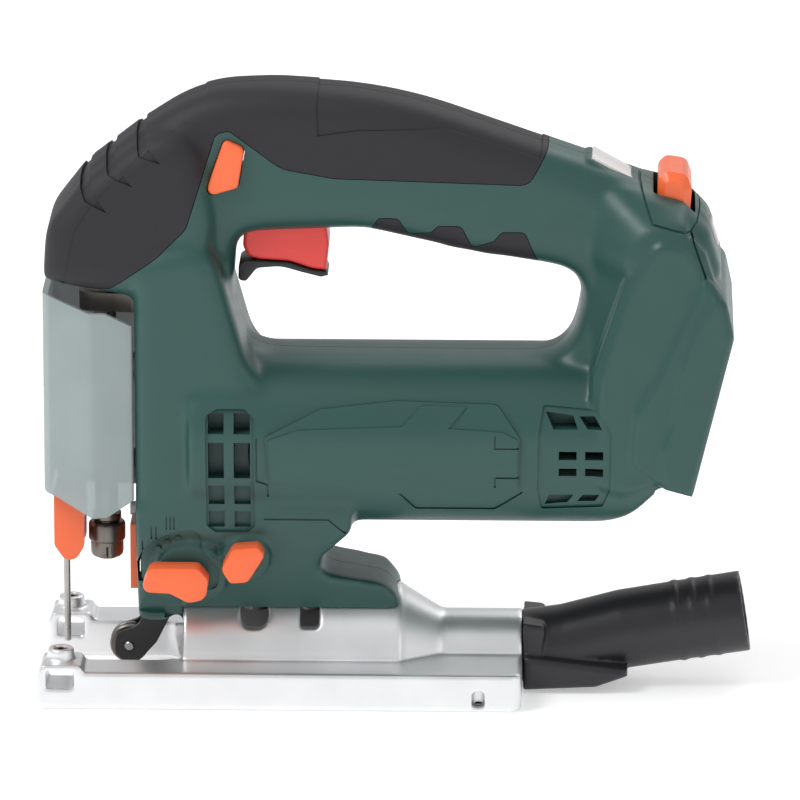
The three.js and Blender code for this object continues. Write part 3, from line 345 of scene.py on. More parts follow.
def round_edges(bm, width, segments=2, edges=None, clamp=True):
    bmesh.ops.bevel(
        bm, geom=list(edges or bm.edges), offset=width * MM, segments=segments, profile=0.5,
        affect="EDGES", material=-1, clamp_overlap=clamp,
    )
    return bm


def cap_edges(bm, axis):
    """Edges that lie in the two end faces of a slab."""
    index = "xyz".index(axis)
    return [e for e in bm.edges if abs(e.verts[0].co[index] - e.verts[1].co[index]) < 1e-7]


def moulding(corners, axis, start, end, edge=0.0, spare=0.0, segments=3, steps=5):
    """A slab with rounded rims; corners tighter than the rim's rounding stay sharp."""
    kept = [c if len(c) < 3 or c[2] > edge * 1.15 else c[:2] for c in corners]
    bm = slab(rounded(kept, spare, steps), axis, start, end)
    if edge:
        round_edges(bm, edge, segments, cap_edges(bm, axis), clamp=False)
    return bm


def brick(near, far, edge=0.0):
    (x0, y0, z0), (x1, y1, z1) = near, far
    bm = bmesh.new()
    bmesh.ops.create_cube(bm, size=1)
    bmesh.ops.scale(bm, verts=bm.verts, vec=Vector((x1 - x0, y1 - y0, z1 - z0)) * MM)
    bmesh.ops.translate(bm, verts=bm.verts, vec=Vector((x0 + x1, y0 + y1, z0 + z1)) * MM / 2)
    return round_edges(bm, edge) if edge else bm


AXES = {"x": Vector((1, 0, 0)), "y": Vector((0, 1, 0)), "z": Vector((0, 0, 1))}


def lathe(axis, centre, profile, steps=48):
    """Spins a [radius, height] profile that starts and ends on the axis, or closes on itself."""
    bm = bmesh.new()
    along = AXES[axis]
    out = AXES["xyz"[("xyz".index(axis) + 1) % 3]]
    hub = Vector(centre)
    verts = [bm.verts.new((hub + out * r + along * (h - hub.dot(along))) * MM) for r, h in profile]
    closed = profile[0][0] > 0
    pairs = zip(verts, verts[1:] + verts[:1] if closed else verts[1:])
    edges = [bm.edges.new(pair) for pair in pairs]
    bmesh.ops.spin(
        bm, geom=verts + edges, cent=hub * MM, axis=along, dvec=(0, 0, 0),
        angle=math.tau, steps=steps, use_merge=True,
    )
    bmesh.ops.remove_doubles(bm, verts=bm.verts, dist=1e-7)
    bmesh.ops.dissolve_degenerate(bm, edges=bm.edges, dist=1e-7)
    bmesh.ops.recalc_face_normals(bm, faces=bm.faces)
    return bm


def bar(axis, centre, radius, start, end, edge=0.3, steps=48):
    edge = min(edge, radius / 2, (end - start) / 2)
    profile = [
        (0, start), (radius - edge, start), (radius, start + edge),
        (radius, end - edge), (radius - edge, end), (0, end),
    ]
    return lathe(axis, centre, profile, steps)


def loft(stations, steps=48):
    """Skins round sections: each station is (centre, direction, half width, half height)."""
    bm = bmesh.new()
    rings = []
    for centre, heading, wide, tall in stations:
        side = AXES["y"]
        up = Vector(heading).normalized().cross(side)
        ring = bmesh.ops.create_circle(bm, segments=steps, radius=1)["verts"]
        frame_matrix = Matrix((side * wide, up * tall, Vector(heading))).transposed()
        for vert in ring:
            vert.co = (frame_matrix @ vert.co + Vector(centre)) * MM
        rings.append(ring)
    for first, second in zip(rings, rings[1:]):
        edges = {e for ring in (first, second) for v in ring for e in v.link_edges if e.other_vert(v) in ring}
        bmesh.ops.bridge_loops(bm, edges=list(edges))
    bmesh.ops.holes_fill(bm, edges=[e for e in bm.edges if e.is_boundary])
    bmesh.ops.recalc_face_normals(bm, faces=bm.faces)
    return bm


def as_object(name, *parts):
    """One object from bmeshes, which are used up."""
    mesh = bpy.data.meshes.new(name)
    whole = bmesh.new()
    for part in parts:
        part.to_mesh(mesh)
        whole.from_mesh(mesh)
        part.free()
    whole.to_mesh(mesh)
    whole.free()
    obj = bpy.data.objects.new(name, mesh)
    bpy.context.scene.collection.objects.link(obj)
    return obj


def settle(obj):
    """Bakes the object's modifiers into its mesh."""
    graph = bpy.context.evaluated_depsgraph_get()
    mesh = bpy.data.meshes.new_from_object(obj.evaluated_get(graph))
    old = obj.data
    obj.modifiers.clear()
    obj.data = mesh
    bpy.data.meshes.remove(old)
    return obj


def discard(obj):
    mesh = obj.data
    bpy.data.objects.remove(obj)
    bpy.data.meshes.remove(mesh)


def combine(obj, how, *parts):
    """Joins, cuts or keeps what overlaps, one bmesh or object at a time."""
    for part in parts:
        tool = part if isinstance(part, bpy.types.Object) else as_object("cutter", part)
        step = obj.modifiers.new("combine", "BOOLEAN")
        step.operation = how
        step.solver = "MANIFOLD"
        step.object = tool
        settle(obj)
        if tool is not part:
            discard(tool)
    return obj


def duplicate(obj, name):
    twin = bpy.data.objects.new(name, obj.data.copy())
    bpy.context.scene.collection.objects.link(twin)
    return twin


def melt(obj, detail, passes, factor=0.5):
    """Blends everything in the object into one soft-edged casting."""
    step = obj.modifiers.new("melt", "REMESH")
    step.mode = "VOXEL"
    step.voxel_size = detail
    settle(obj)
    bm = bmesh.new()
    bm.from_mesh(obj.data)
    for _ in range(passes):
        bmesh.ops.smooth_vert(
            bm, verts=bm.verts, factor=factor, use_axis_x=True, use_axis_y=True, use_axis_z=True
        )
    bm.to_mesh(obj.data)
    bm.free()
    return obj


def soften(obj, angle=32):
    """Smooth shading with crisp creases."""
    obj.data.polygons.foreach_set("use_smooth", [True] * len(obj.data.polygons))
    obj.data.set_sharp_from_angle(angle=math.radians(angle))
    return obj


def finished(obj, body, slot, look, *replaced):
    soften(obj)
    obj.data.materials.clear()
    obj.data.materials.append(look)
    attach(obj, body)
    if replaced:
        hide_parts(*replaced)
    return obj


def piece(name, body, slot, look, parts, replaced=()):
    return finished(as_object(name, *parts), body, slot, look, *replaced)


LOOKS = {}


def look(key):
    if key not in LOOKS:
        LOOKS[key] = LOOK_MAKERS[key]()
    return LOOKS[key]


def setting(group, key):
    return tuple(getattr(getattr(bpy.context.scene, group), key))


LOOK_MAKERS = {
    "shell": lambda: spark_plastic("teal_shell", setting("jigsaw_housing", "shell"), 0.4),
    "grip": lambda: soft_rubber("soft_grip", setting("jigsaw_housing", "grip")),
    "orange": lambda: spark_plastic("orange_moulding", setting("jigsaw_controls", "orange"), 0.34, 0.4, 0.008),
    "red": lambda: spark_plastic("red_moulding", setting("jigsaw_controls", "red"), 0.34, 0.4, 0.008),
    "black": lambda: spark_plastic("black_moulding", (0.014, 0.014, 0.016), 0.42),
    "nozzle": lambda: spark_plastic("nozzle_moulding", setting("jigsaw_base", "nozzle"), 0.4, 0.6, 0.015),
    "cast": lambda: bright_cast("bright_casting", setting("jigsaw_base", "cast")),
    "steel": lambda: turned_metal("ground_steel", setting("jigsaw_metal", "steel"), 0.28),
    "oiled": lambda: turned_metal("oiled_steel", setting("jigsaw_metal", "oiled"), 0.36, (14, 14, 1)),
    "brass": lambda: turned_metal("brass", (0.50, 0.35, 0.13), 0.3),
    "copper": lambda: turned_metal("copper_and_core", (0.42, 0.20, 0.10), 0.35, (14, 1, 1)),
    "clear": lambda: frosted_clear("frosted_clear"),
    "label": lambda: blank_label("blank_plate", (0.80, 0.80, 0.79), (0.45, 0.10, 0.09)),
    "lens": lambda: frosted_clear("lens_clear"),
}


# ---- Side outlines of the mouldings: [x, z, radius] ----
OPENING = [
    (-56.6, 119.6, 15), (60, 119.1, 13), (66.5, 150, 9), (26, 156.4, 30), (-10, 164.4, 12), (-54, 162.6, 6),
]
HANDLE = [
    (FRONT_X, 147, 5), (-118.6, 167, 14), (-105.8, 184.6, 40), (-88.2, 198.4, 60), (-66, 212.8, 50),
    (-40, CROWN_Z + 2.2, 90), (0, 211.4, 160), (65.4, 188.6, 40), (87.4, 180.4, 8), (101.6, 174.6, 8),
    (107.6, 168, 8), (112.2, 153, 12), (110.8, 140), (99, 76.4), (93.4, 80, 8), (74, 63, 12), (63.8, 60.4, 8),
    (COLUMN_X, 60.4), (COLUMN_X, 141.5, 6),
]
NOSE = [
    (FRONT_X, 147, 4), (-119.2, 166, 16), (-106.6, 182.4, 20), (-84, 199.4, 20), (-66, 201, 12),
    (-60, 170, 14), (-64, 136, 10), (COLUMN_X, 141.5, 6),
]
COLUMN = [
    (COLUMN_X, 53.6), (COLUMN_X, 158, 12), (-62, 164, 12), (-50, 121.6, 12), (-40, 108, 10), (-40, 56.6, 10),
]
BARREL_SIDE = [
    (-70, 59.6), (63.8, 59.6, 30), (74, 61.2, 20), (82, 66, 20), (92, 78), (92, 104), (74, 119, 12), (-70, 119),
]
FOOT = [
    (66, 76, 6), (80, 74.4, 10), (93.4, 78.4, 6), (102.8, 76.4, 2), (REAR_X - 0.6, 133, 6), (114, 145.2, 6),
    (109.6, 151.6, 6), (106.7, 161, 6), (102, 167.2, 6), (88, 169, 8), (79, 152, 20), (68, 118, 12),
]
FOOT_BAND = [
    (92.6, 79.2, 2), (81.6, 86.4, 4), (80.8, 91.5, 10), (82, 106.4, 6), (89.4, 118.2, 20), (97.4, 136.7, 10),
    (106, 154.7), (109.2, 151.6), (113.6, 145.6), (116.3, 133), (102.5, 76.7),
]
FOOT_SKIRT = [
    (92.6, 79.4, 1.5), (90.6, 87.2, 4), (91.3, 94.2, 4), (94.4, 102.3, 10), (97.4, 122.2, 10),
    (101.6, 135.7, 8), (109.6, 149.8, 2), (114, 145, 5), (REAR_X - 0.3, 133, 6), (102.8, 76.6, 2),
]
CAP = [
    (72, 140), (80, 176, 6), (88, 178.4, 4), (101, 173.6, 5), (108, 166.5, 6), (112.4, 152, 6), (104, 126),
    (75, 120),
]
SHANK = [
    (COLUMN_X, 23, 2), (-79, 23, 3), (-73.3, 28), (-73.3, 20), (1.8, 20), (2.2, 33.4, 3), (-3, 39.4, 5),
    (-23, 43, 4), (-26.5, 48, 4), (-14, 60.6), (-14, 70), (COLUMN_X, 70),
]
# Shoulders that widen the handle's rear arch into the foot, from the narrowest on.
ARCH = [
    (20 + 2.9 * i, [
        (65.5 + 2.6 * i, 110), (69 + 2.6 * i, 150, 8), (64.5 + 2.6 * i, 159, 10),
        (70 + 3.6 * i, 184 - 3 * i, 10), (100, 176 - i), (106, 150), (98, 110),
    ])
    for i in range(5)
]
SIDE_PANEL = [
    (-43.6, 96.6, 2), (-24.5, 106, 3), (1.6, 108.7, 3), (36, 107.8, 3), (43.7, 97, 2), (43.4, 78, 2),
    (34.8, 71, 3), (9.4, 70.4, 3), (4.2, 75.3, 3), (-24.6, 78.3, 3), (-42, 79.8, 2),
]
GRIP_ZONE = [
    (-132, 152.6), (-112.7, 147.4, 4), (-104, 145, 6), (-97, 145.6, 6), (-80.3, 157.8, 10), (-70.6, 167.3, 8),
    (-60.6, 199, 3), (-56, 200.4, 3), (-38, 187, 14), (-20, 183.8, 20), (46, 181.8, 5), (57, 200.4, 3),
    (64, 232), (-132, 232),
]
PAD_ZONE = [
    (-15, 150), (-5.1, 169.5, 2), (1.6, 169.5, 2), (5, 163.6, 2), (13, 164.4, 2), (15.3, 167, 1.5),
    (23.2, 167, 2), (27, 158.8, 2), (34.5, 161.7, 2), (37.1, 165, 1.5), (44.9, 165, 2), (50, 152), (50, 140),
    (-15, 140),
]
LOCK = [(-57.4, 197.6, 1.8), (-50.6, 194.4, 2.2), (-52.8, 180.7, 2), (-64.6, 177.2, 2.2)]
PLATEAU = [
    (-42.5, 95.6), (-32.4, 99.2), (-21, 99.7), (3.4, 100.7), (10.2, 107.6), (25.4, 107.2), (19.2, 100.2),
    (38, 99), (43, 96.4), (42.8, 78.5), (34.6, 72), (9.6, 71.4), (4.6, 76.2), (-24.6, 79.3), (-41.5, 80.8),
]
# Grooves: a polyline and its width.
LINES = [
    ([(35.2, 97.8), (35.2, 93.4), (43.4, 93.4)], 0.6),
    ([(35.2, 79), (35.2, 82.8), (43.4, 82.8)], 0.6),
    ([(2.6, 76), (8, 69.4), (35, 69.4), (44.6, 76.8)], 0.8),
    ([(-46.4, 96), (-46.4, 80.4), (-42.6, 79), (-42.6, 74)], 0.7),
    ([(-16, 60.4), (-22, 65.6), (-44, 65.6)], 0.7),
    ([(81.3, 188), (88.4, 171.1), (101.4, 168.1), (106.7, 153.3)], 0.7),
    ([(101.4, 168.1), (109, 176)], 0.7),
    ([(-86, 53), (-86, 57)], 0.5),
    ([(-82.8, 58), (-82.8, 62.4)], 0.5),
    ([(-81.2, 58), (-81.2, 62.4)], 0.5),
    ([(-77.6, 61.6), (-77.6, 66)], 0.5),
    ([(-76.3, 61.6), (-76.3, 66)], 0.5),
    ([(-75, 61.6), (-75, 66)], 0.5),
]
GRIP_BITES = [
    [(-78.9, 190.2), (-86.5, 192.2), (-90.6, 209), (-86.2, 209), (-84.4, 196.5)],
    [(-88.6, 182.1), (-97, 185.4), (-101.8, 200), (-97.2, 202), (-94.8, 190)],
    [(-97.4, 173), (-104.9, 176.4), (-111, 190), (-106.4, 193), (-103, 181.6)],
]
NOSE_FRONT = [
    (-112.4, 146), (-108.4, 166), (-102, 176), (-92.6, 186), (-83, 195.4), (-70, 203), (-56, 222), (-135, 222),
    (-135, 146),
]
HANDLE_STEP = [(-25.8, 198.5), (-12.3, 200.4), (18, 201), (50, 190.4), (58, 222), (-25.3, 222), (-26.2, 207.9)]
PAD = [(66.4, 189.4), (83.6, 179.8), (85, 170), (63, 170)]
REAR_PLATE = [(107.2, 165.4), (109.0, 165.9), (111.4, 158.3), (109.6, 157.8)]
PLATE = [(68, 189.7), (82.2, 181.8), (81.6, 180.7), (67.4, 188.6)]
DIAL = [
    (-88.3, 47.6), (-86.4, 52.6, 3), (-82, 57.4, 3), (-76, 60.6, 3), (-69.4, 61.6, 2.4), (-66, 60.4, 2),
    (-65.4, 54.3, 3), (-59.4, 47.2, 3), (-60, 40, 3), (-88, 40),
]
BARREL_R = 30
BARREL_HALF = 33.5


def barrel_section(spare=0.0):
    top = 119
    corners = [
        (-BARREL_HALF, 59.6, BARREL_R), (BARREL_HALF, 59.6, BARREL_R),
        (BARREL_HALF, top, 25), (-BARREL_HALF, top, 25),
    ]
    return rounded(corners, spare, 16)


def shank_section():
    return [Vector(p) for p in [(-28, 70), (-28, 62), (-9.8, 19), (9.8, 19), (28, 62), (28, 70)]]


def swept(sign, radius, start, end):
    """What one side of the base sweeps through when it tilts."""
    reach = math.hypot(BASE_HIGH.y, 3.2) + 0.8
    edge = math.radians(46) + math.asin(3.2 / radius)
    points = [Vector((0, TILT_Z))]
    for i in range(25):
        angle = -math.pi / 2 + (edge + math.pi / 2) * i / 24
        points.append(Vector((sign * reach * math.cos(angle), TILT_Z + reach * math.sin(angle))))
    return slab(points, "x", start, end)


def with_opening(corners, half, edge):
    """The D-handle: an outline with the hand opening through it."""
    body = as_object("handle", moulding(corners, "y", -half, half, edge, segments=5, steps=8))
    throat = as_object("throat", slab(rounded(OPENING, 0, 8), "y", -WHOLE, WHOLE))
    combine(body, "DIFFERENCE", throat)
    discard(throat)
    bm = bmesh.new()
    bm.from_mesh(body.data)
    rim = [
        e for e in bm.edges
        if all(abs(abs(v.co.y) - half * MM) < 1e-6 for v in e.verts) and not e.is_boundary
        and any(abs(f.normal.y) < 0.5 for f in e.link_faces)
    ]
    round_edges(bm, edge, 5, rim, clamp=False)
    bm.to_mesh(body.data)
    bm.free()
    return body


FRONT_VENT = [
    (-63.8, 103.3, 2), (-60, 105.6, 2), (-50.6, 105.6, 2), (-47.2, 102.6, 2), (-47.2, 63, 2), (-49.4, 60.7, 2),
    (-60.8, 60.7, 2), (-63.8, 63.2, 2),
]
FRONT_ROWS = [(62.4, 68), (70.6, 78), (81, 94), (97, 104)]
FRONT_COLUMNS = [(-63, -57.6), (-54.2, -48.6)]
REAR_FRAME = [
    (50, 98), (51.6, 107.6, 1), (70.6, 106.2, 1), (75, 98.6, 1), (74.6, 78), (72, 70.6, 1), (51, 69.4, 1),
    (49.6, 78),
]
REAR_SLOTS = [
    [(52.5, 105.4), (61.9, 104.2), (63.5, 99.6), (55.2, 99.5)],
    [(64, 103.9), (69.3, 104), (71.9, 99.6), (66.9, 99.6)],
    [(57, 91.9), (63.1, 91.9), (63.1, 88.9), (57, 88.9)],
    [(66, 91.9), (72.2, 91.9), (72.2, 88.9), (66, 88.9)],
    [(57, 85.8), (63.1, 85.8), (63.1, 83), (57, 83)],
    [(66, 85.8), (72.2, 85.8), (72.2, 83), (66, 83)],
    [(53.7, 75.6), (62.1, 75.6), (60, 72.3), (52.2, 71.4)],
    [(65.2, 75.6), (71, 75.6), (69.4, 72.9), (63.4, 72.8)],
]


def in_one(name, *lumps):
    """One object out of several, which are used up."""
    meshes = []
    for lump in lumps:
        bm = bmesh.new()
        bm.from_mesh(lump.data)
        meshes.append(bm)
        discard(lump)
    return as_object(name, *meshes)


def moulded_body(settings):
    """The whole skin before it is parted: soft masses first, crisp ones over them."""
    barrel = as_object("barrel", slab(barrel_section(), "x", -70, 92))
    combine(barrel, "INTERSECT", slab(rounded(BARREL_SIDE), "y", -WHOLE, WHOLE))
    shank = as_object("shank", slab(shank_section(), "x", -95, 10))
    combine(shank, "INTERSECT", slab(rounded(SHANK), "y", -WHOLE, WHOLE))
    soft = as_object(
        "soft_masses",
        moulding(NOSE, "y", -25, 25, 9, segments=5),
        moulding(COLUMN, "y", -28, 28, 6, segments=4),
        moulding(CAP, "y", -25, 25, 8, segments=5),
        *[moulding(corners, "y", -half, half, 6, segments=4) for half, corners in ARCH],
    )
    whole = in_one("moulded_body", with_opening(HANDLE, 17.5, 10), barrel, shank, soft)
    melt(whole, settings.detail, settings.blending)
    crisp = as_object(
        "crisp_masses",
        moulding(FOOT, "y", -33.6, 33.6, 4, segments=1),
        moulding(FOOT_BAND, "y", -35.6, 35.6, 2.2, segments=1),
        moulding(FOOT_SKIRT, "y", -FOOT_HALF - 0.8, FOOT_HALF + 0.8, 2, segments=1),
        bar("y", (-70, 0, 44), 13, -27.3, 20, 1.2),
        bar("y", (-50.4, 0, 51.4), 8.5, -28.3, 20, 1.2),
        moulding(PAD, "y", -9.6, 9.6, 0.8),
    )
    whole = in_one("moulded_body", whole, crisp)
    melt(whole, settings.detail * 0.85, 2)
    # Heights of the steps in the sides.
    relief(whole, 1.1, rounded(SIDE_PANEL))
    relief(whole, 0.5, rounded(PLATEAU))
    relief(whole, -1.3, rounded(FRONT_VENT), rounded(DIAL))
    relief(whole, -0.7, rounded(REAR_FRAME))
    relief(whole, -0.45, rounded(NOSE_FRONT), rounded(HANDLE_STEP))
    relief(whole, -1.0, *[rounded(corners) for corners in GRIP_BITES])
    relief(whole, -0.6, *[strip(points, width) for points, width in LINES])
    relief(whole, 0.6, *[dot(-70 + 14.5 * math.cos(a), 44 + 14.5 * math.sin(a)) for a in (1.83, 2.11, 2.41)])
    return whole


def relief(body, height, *outlines):
    """Raises or sinks side-view outlines by a height that follows the surface."""
    shifted = duplicate(body, "shifted")
    bm = bmesh.new()
    bm.from_mesh(shifted.data)
    bm.normal_update()
    for vert, shift in [(vert, vert.normal * height * MM) for vert in bm.verts]:
        vert.co += shift
    bm.to_mesh(shifted.data)
    bm.free()
    for outline in outlines:
        patch = as_object("patch", slab(outline, "y", -WHOLE, WHOLE))
        combine(patch, "INTERSECT" if height > 0 else "DIFFERENCE", shifted)
        combine(body, "UNION" if height > 0 else "DIFFERENCE", patch)
        discard(patch)
    discard(shifted)


def dot(x, z, radius=0.9, corners=12):
    turns = [math.tau * k / corners for k in range(corners)]
    return [Vector((x + radius * math.cos(turn), z + radius * math.sin(turn))) for turn in turns]


def strip(points, width):
    """A band of even width along a side-view polyline."""
    line = [Vector(point) for point in points]
    sides = ([], [])
    for i, point in enumerate(line):
        before = (point - line[i - 1]).normalized() if i else None
        after = (line[i + 1] - point).normalized() if i + 1 < len(line) else None
        heading = (before or after) + (after or before)
        across = Vector((-heading.y, heading.x))
        across *= width / across.length_squared if across.length else 0
        sides[0].append(point + across)
        sides[1].append(point - across)
    return sides[0] + sides[1][::-1]


def arm_room(sign):
    """What a front arm of the base sweeps through when the base tilts."""
    room = as_object("arm_room", swept(sign, 18.6, -122.5, -73.2))
    combine(room, "DIFFERENCE", bar("x", (0, 0, TILT_Z), 21.4, -124, -79.3, 0.1, 96))
    combine(room, "DIFFERENCE", bar("x", (0, 0, TILT_Z), 18.6, -79.4, -72, 0.1, 96))
    return room


def hollows():
    """Everything that is cut from the blended skin."""
    slots = []
    for near, far in ((-WHOLE, -24), (24, WHOLE)):
        for z0, z1 in FRONT_ROWS:
            for x0, x1 in FRONT_COLUMNS:
                slots.append(brick((x0, near, z0), (x1, far, z1)))
        slots.extend(slab([Vector(point) for point in corners], "y", near, far) for corners in REAR_SLOTS)
    slope = (REAR_X - 102.8) / (133 - 76.4)
    channel = [
        (REAR_X - (133 - 124.2) * slope - 13, 124.2), (REAR_X - (133 - 50) * slope - 13, 50),
        (REAR_X + 14, 50), (REAR_X + 14, 124.2),
    ]
    rail_half = high("battery_rail_right").y + 0.3
    return [
        brick((-84, -22.5, 66), (-62.5, 22.5, 134), 2),
        brick((-84, -22.5, 66), (-44, 22.5, 110), 2),
        moulding(PLATE, "y", -7.8, 7.8, spare=0.3),
        moulding(REAR_PLATE, "y", -6.3, 6.3, spare=0.3),
        brick((COLUMN_X - 3, -20.5, 66), (-80, 20.5, 141.4)),
        bar("x", (0, 0, MOTOR.z + 1.6), 25.6, -50, 82, 2),
        moulding(channel, "y", -rail_half, rail_half),
        brick((PLUNGER_X - 6.2, -6.2, 136), (PLUNGER_X + 13, 6.2, 168), 1),
        brick((-53, -8.8, 146), (-21, 8.8, 180), 0.6),
        moulding(LOCK, "y", -WHOLE, WHOLE, spare=0.3),
        brick((88.6, -14.9, 163.6), (103, 14.9, 196), 1.5),
        bar("x", (0, 0, TILT_Z), 24.6, -73.3, 5.2, 0.1, 96),
        swept(-1, 24, -73.3, 3.4),
        swept(1, 24, -73.3, 3.4),
        arm_room(-1),
        arm_room(1),
        brick((COLUMN_X - 2, -6.4, 18), (-74.4, 6.4, 43), 0.6),
        *slots,
    ]


class JIGSAW_OT_housing(bpy.types.Operator):
    """Mould the housing halves, the grip covers and the finger pads"""

    bl_idname = "jigsaw.housing"
    bl_label = "Housing and grips"

    def execute(self, context):
        settings = context.scene.jigsaw_housing
        body = moulded_body(settings)
        rooms = hollows()
        combine(body, "DIFFERENCE", *rooms)
        for room in rooms:
            if isinstance(room, bpy.types.Object):
                discard(room)
        sides = {"left": (-WHOLE, -SEAM), "right": (SEAM, WHOLE)}
        for side, (near, far) in sides.items():
            half = brick((-200, near, -10), (200, far, 260))
            part = combine(duplicate(body, f"shell_{side}"), "INTERSECT", half)
            for zone, label in ((GRIP_ZONE, "grip_cover"), (PAD_ZONE, "finger_pad")):
                cover = duplicate(part, f"{label}_skin_{side}")
                combine(cover, "INTERSECT", moulding(zone, "y", -WHOLE, WHOLE))
                finished(cover, "housing", "soft_grip", look("grip"), f"{label}_{side}")
                combine(part, "DIFFERENCE", moulding(zone, "y", -WHOLE, WHOLE, spare=GAP))
            finished(part, "housing", "green_housing", look("shell"), f"housing_{side}")
        discard(body)
        return {"FINISHED"}


# ---- Controls ----
class JIGSAW_OT_controls(bpy.types.Operator):
    """Mould the trigger, the lock, the battery release and the side levers"""

    bl_idname = "jigsaw.controls"
    bl_label = "Trigger, buttons and levers"

    def execute(self, context):
        edge = context.scene.jigsaw_controls.edge / MM
        piece("name_plate", "housing", "white_plastic", look("label"),
              [moulding(PLATE, "y", -7.5, 7.5, 0.2, segments=2)], ["badge_plate"])
        piece("rear_plate", "housing", "white_plastic", look("label"),
              [moulding(REAR_PLATE, "y", -6, 6, 0.2, segments=2)], ["rear_badge_plate"])
        blade = [
            (-50.6, 172), (-51.8, 157, 4), (-50, 153.4, 3), (-46, 152.4, 3), (-36, 151.8, 6), (-28, 149.2, 3),
            (-23.2, 148.7, 1.5), (-22.2, 158, 4), (-24, 172),
        ]
        piece("trigger_blade", "trigger", "red_plastic", look("red"),
              [moulding(blade, "y", -8, 8, 1.6, segments=4)], ["trigger"])
        lip = [
            (-50.8, 152.2), (-53.2, 150.8, 2), (-53.4, 145.2, 1.4), (-50.8, 144.6, 1.4), (-47, 149.4, 3),
            (-38.7, 150.1, 14), (-31.4, 148, 5), (-25, 146.4, 1.2), (-22.6, 147), (-23.2, 148.3),
            (-28, 148.8, 2), (-36, 151.4, 6), (-46, 152),
        ]
        piece("trigger_lip", "trigger", "black_plastic", look("black"),
              [moulding(lip, "y", -8, 8, 0.5)], ["trigger_pad"])
        piece("lock_slide", "lock_bolt", "orange_plastic", look("orange"),
              [moulding(LOCK, "y", -20, 20, edge)], ["lock_bolt"])
        button = [
            (89.8, 169), (90.2, 183, 3.4), (93, 185.6, 3), (100, 184.6, 3.4), (101.8, 179.4, 4), (101, 169),
        ]
        piece("battery_button", "release_button", "orange_plastic", look("orange"),
              [moulding(button, "y", -14, 14, 2.6, segments=1)], ["release_button"])
        self.side_lever("pendulum_knob", "orbital_lever", (-70, 44), -36.5, [
            (-85.6, 44.2, 3), (-83, 50.2, 3), (-66.4, 50.2, 3), (-62.8, 46, 3), (-63.8, 39, 4),
            (-69.8, 37.6, 4), (-76.2, 41, 5), (-84.6, 41.4, 2.4),
        ], edge)
        self.side_lever("blower_knob", "blower_lever", (-50.4, 51.4), -36.5, [
            (-58.6, 49.8, 3), (-54.6, 57.2, 3), (-45.8, 58, 2), (-43.4, 55, 2), (-49.4, 45.2, 3),
            (-55.6, 44.8, 2),
        ], edge)
        return {"FINISHED"}

    def side_lever(self, name, node, pivot, front, corners, edge):
        x, z = pivot
        parts = [
            moulding(corners, "y", front, -27.6, edge, segments=2),
            bar("y", (x, 0, z), 3.4, -30, -13),
        ]
        piece(name, node, "orange_plastic", look("orange"), parts, [node])


# ---- Front end ----
class JIGSAW_OT_front(bpy.types.Operator):
    """Make the chip guard, the blade clamp and the pendulum roller"""

    bl_idname = "jigsaw.front"
    bl_label = "Guard, clamp and roller"

    def execute(self, context):
        self.guard()
        self.clamp()
        self.roller()
        return {"FINISHED"}

    def guard(self):
        rear = high("chip_guard").x
        front = low("chip_guard").x
        plan = [
            (rear, 24, 1), (-103.5, 24, 5), (front, 14, 5), (front, -14, 5), (-103.5, -24, 5), (rear, -24, 1),
        ]
        room = [
            (rear + 3, 22, 0.5), (-103.1, 22, 4), (front + 2, 13.4, 4), (front + 2, -13.4, 4), (-103.1, -22, 4),
            (rear + 3, -22, 0.5),
        ]
        side = [
            (front - 1, 71.4, 2), (-115.2, 69.4, 8), (-103.2, 64, 4), (-98, 64.6, 3), (rear + 1, 71.4),
            (rear + 1, 132), (-98.4, 137, 3), (-104.2, 137, 3), (front - 1, 142),
        ]
        guard = as_object("guard_shell", slab(rounded(plan), "z", 60, 150))
        combine(guard, "INTERSECT", slab(rounded(side), "y", -WHOLE, WHOLE))
        combine(guard, "DIFFERENCE", slab(rounded(room), "z", 50, 160))
        finished(guard, "chip_guard", "clear_guard", look("clear"), "chip_guard")

    def clamp(self):
        centre = (PLUNGER_X, 0, 0)
        slot = ((PLUNGER_X - 4.2, -0.8, 30), (PLUNGER_X + 4.2, 0.8, 52.4))
        body = as_object("clamp_core", lathe("z", centre, [
            (0, 43.4), (3.4, 43.4), (4.2, 44.2), (4.2, 57), (4.6, 57.2), (5, 57.6), (5, 59.6), (2.9, 59.6),
            (2.9, 56), (0, 56),
        ]))
        combine(body, "DIFFERENCE", brick(*slot))
        finished(body, "plunger", "dark_steel", look("oiled"), "blade_clamp_body")
        ring = as_object("clamp_ring", lathe("z", centre, [
            (4.5, 44.8), (5, 44.2), (5.5, 44.8), (5.7, 46), (5.7, 49.6), (5.9, 49.8), (6.3, 50.2), (6.4, 51),
            (6.4, 55.4), (6.2, 56), (5.7, 56.5), (4.5, 56.6),
        ]))
        combine(ring, "DIFFERENCE", brick(*slot))
        for turn in range(3):
            angle = math.radians(40 + 120 * turn)
            notch = (PLUNGER_X + 6 * math.cos(angle), 6 * math.sin(angle))
            combine(ring, "DIFFERENCE", bar("z", (*notch, 0), 1.1, 43, 48.4))
        finished(ring, "clamp_sleeve", "dark_steel", look("oiled"), "blade_clamp_sleeve")

    def roller(self):
        half = (high("guide_roller").y - low("guide_roller").y) / 2
        hub = (ROLLER.x, 0, ROLLER.z)
        piece("grooved_roller", "roller", "dark_steel", look("oiled"), [lathe("y", hub, [
            (1.65, -half), (6.3, -half), (6.8, -half + 0.4), (6.8, -1), (6.5, -0.75), (5.4, -0.6), (5.4, 0.6),
            (6.5, 0.75), (6.8, 1), (6.8, half - 0.4), (6.3, half), (1.65, half),
        ], 64)], ["guide_roller"])
        piece("roller_pin", "fork", "steel", look("steel"), [bar("y", hub, 1.6, -5.8, 5.8)], ["roller_axle"])
        piece("guard_wire", "housing", "steel", look("steel"),
              [bar("z", (ROD_X, 0, 0), 1.15, 12.7, high("guard_rod").z)], ["guard_rod"])


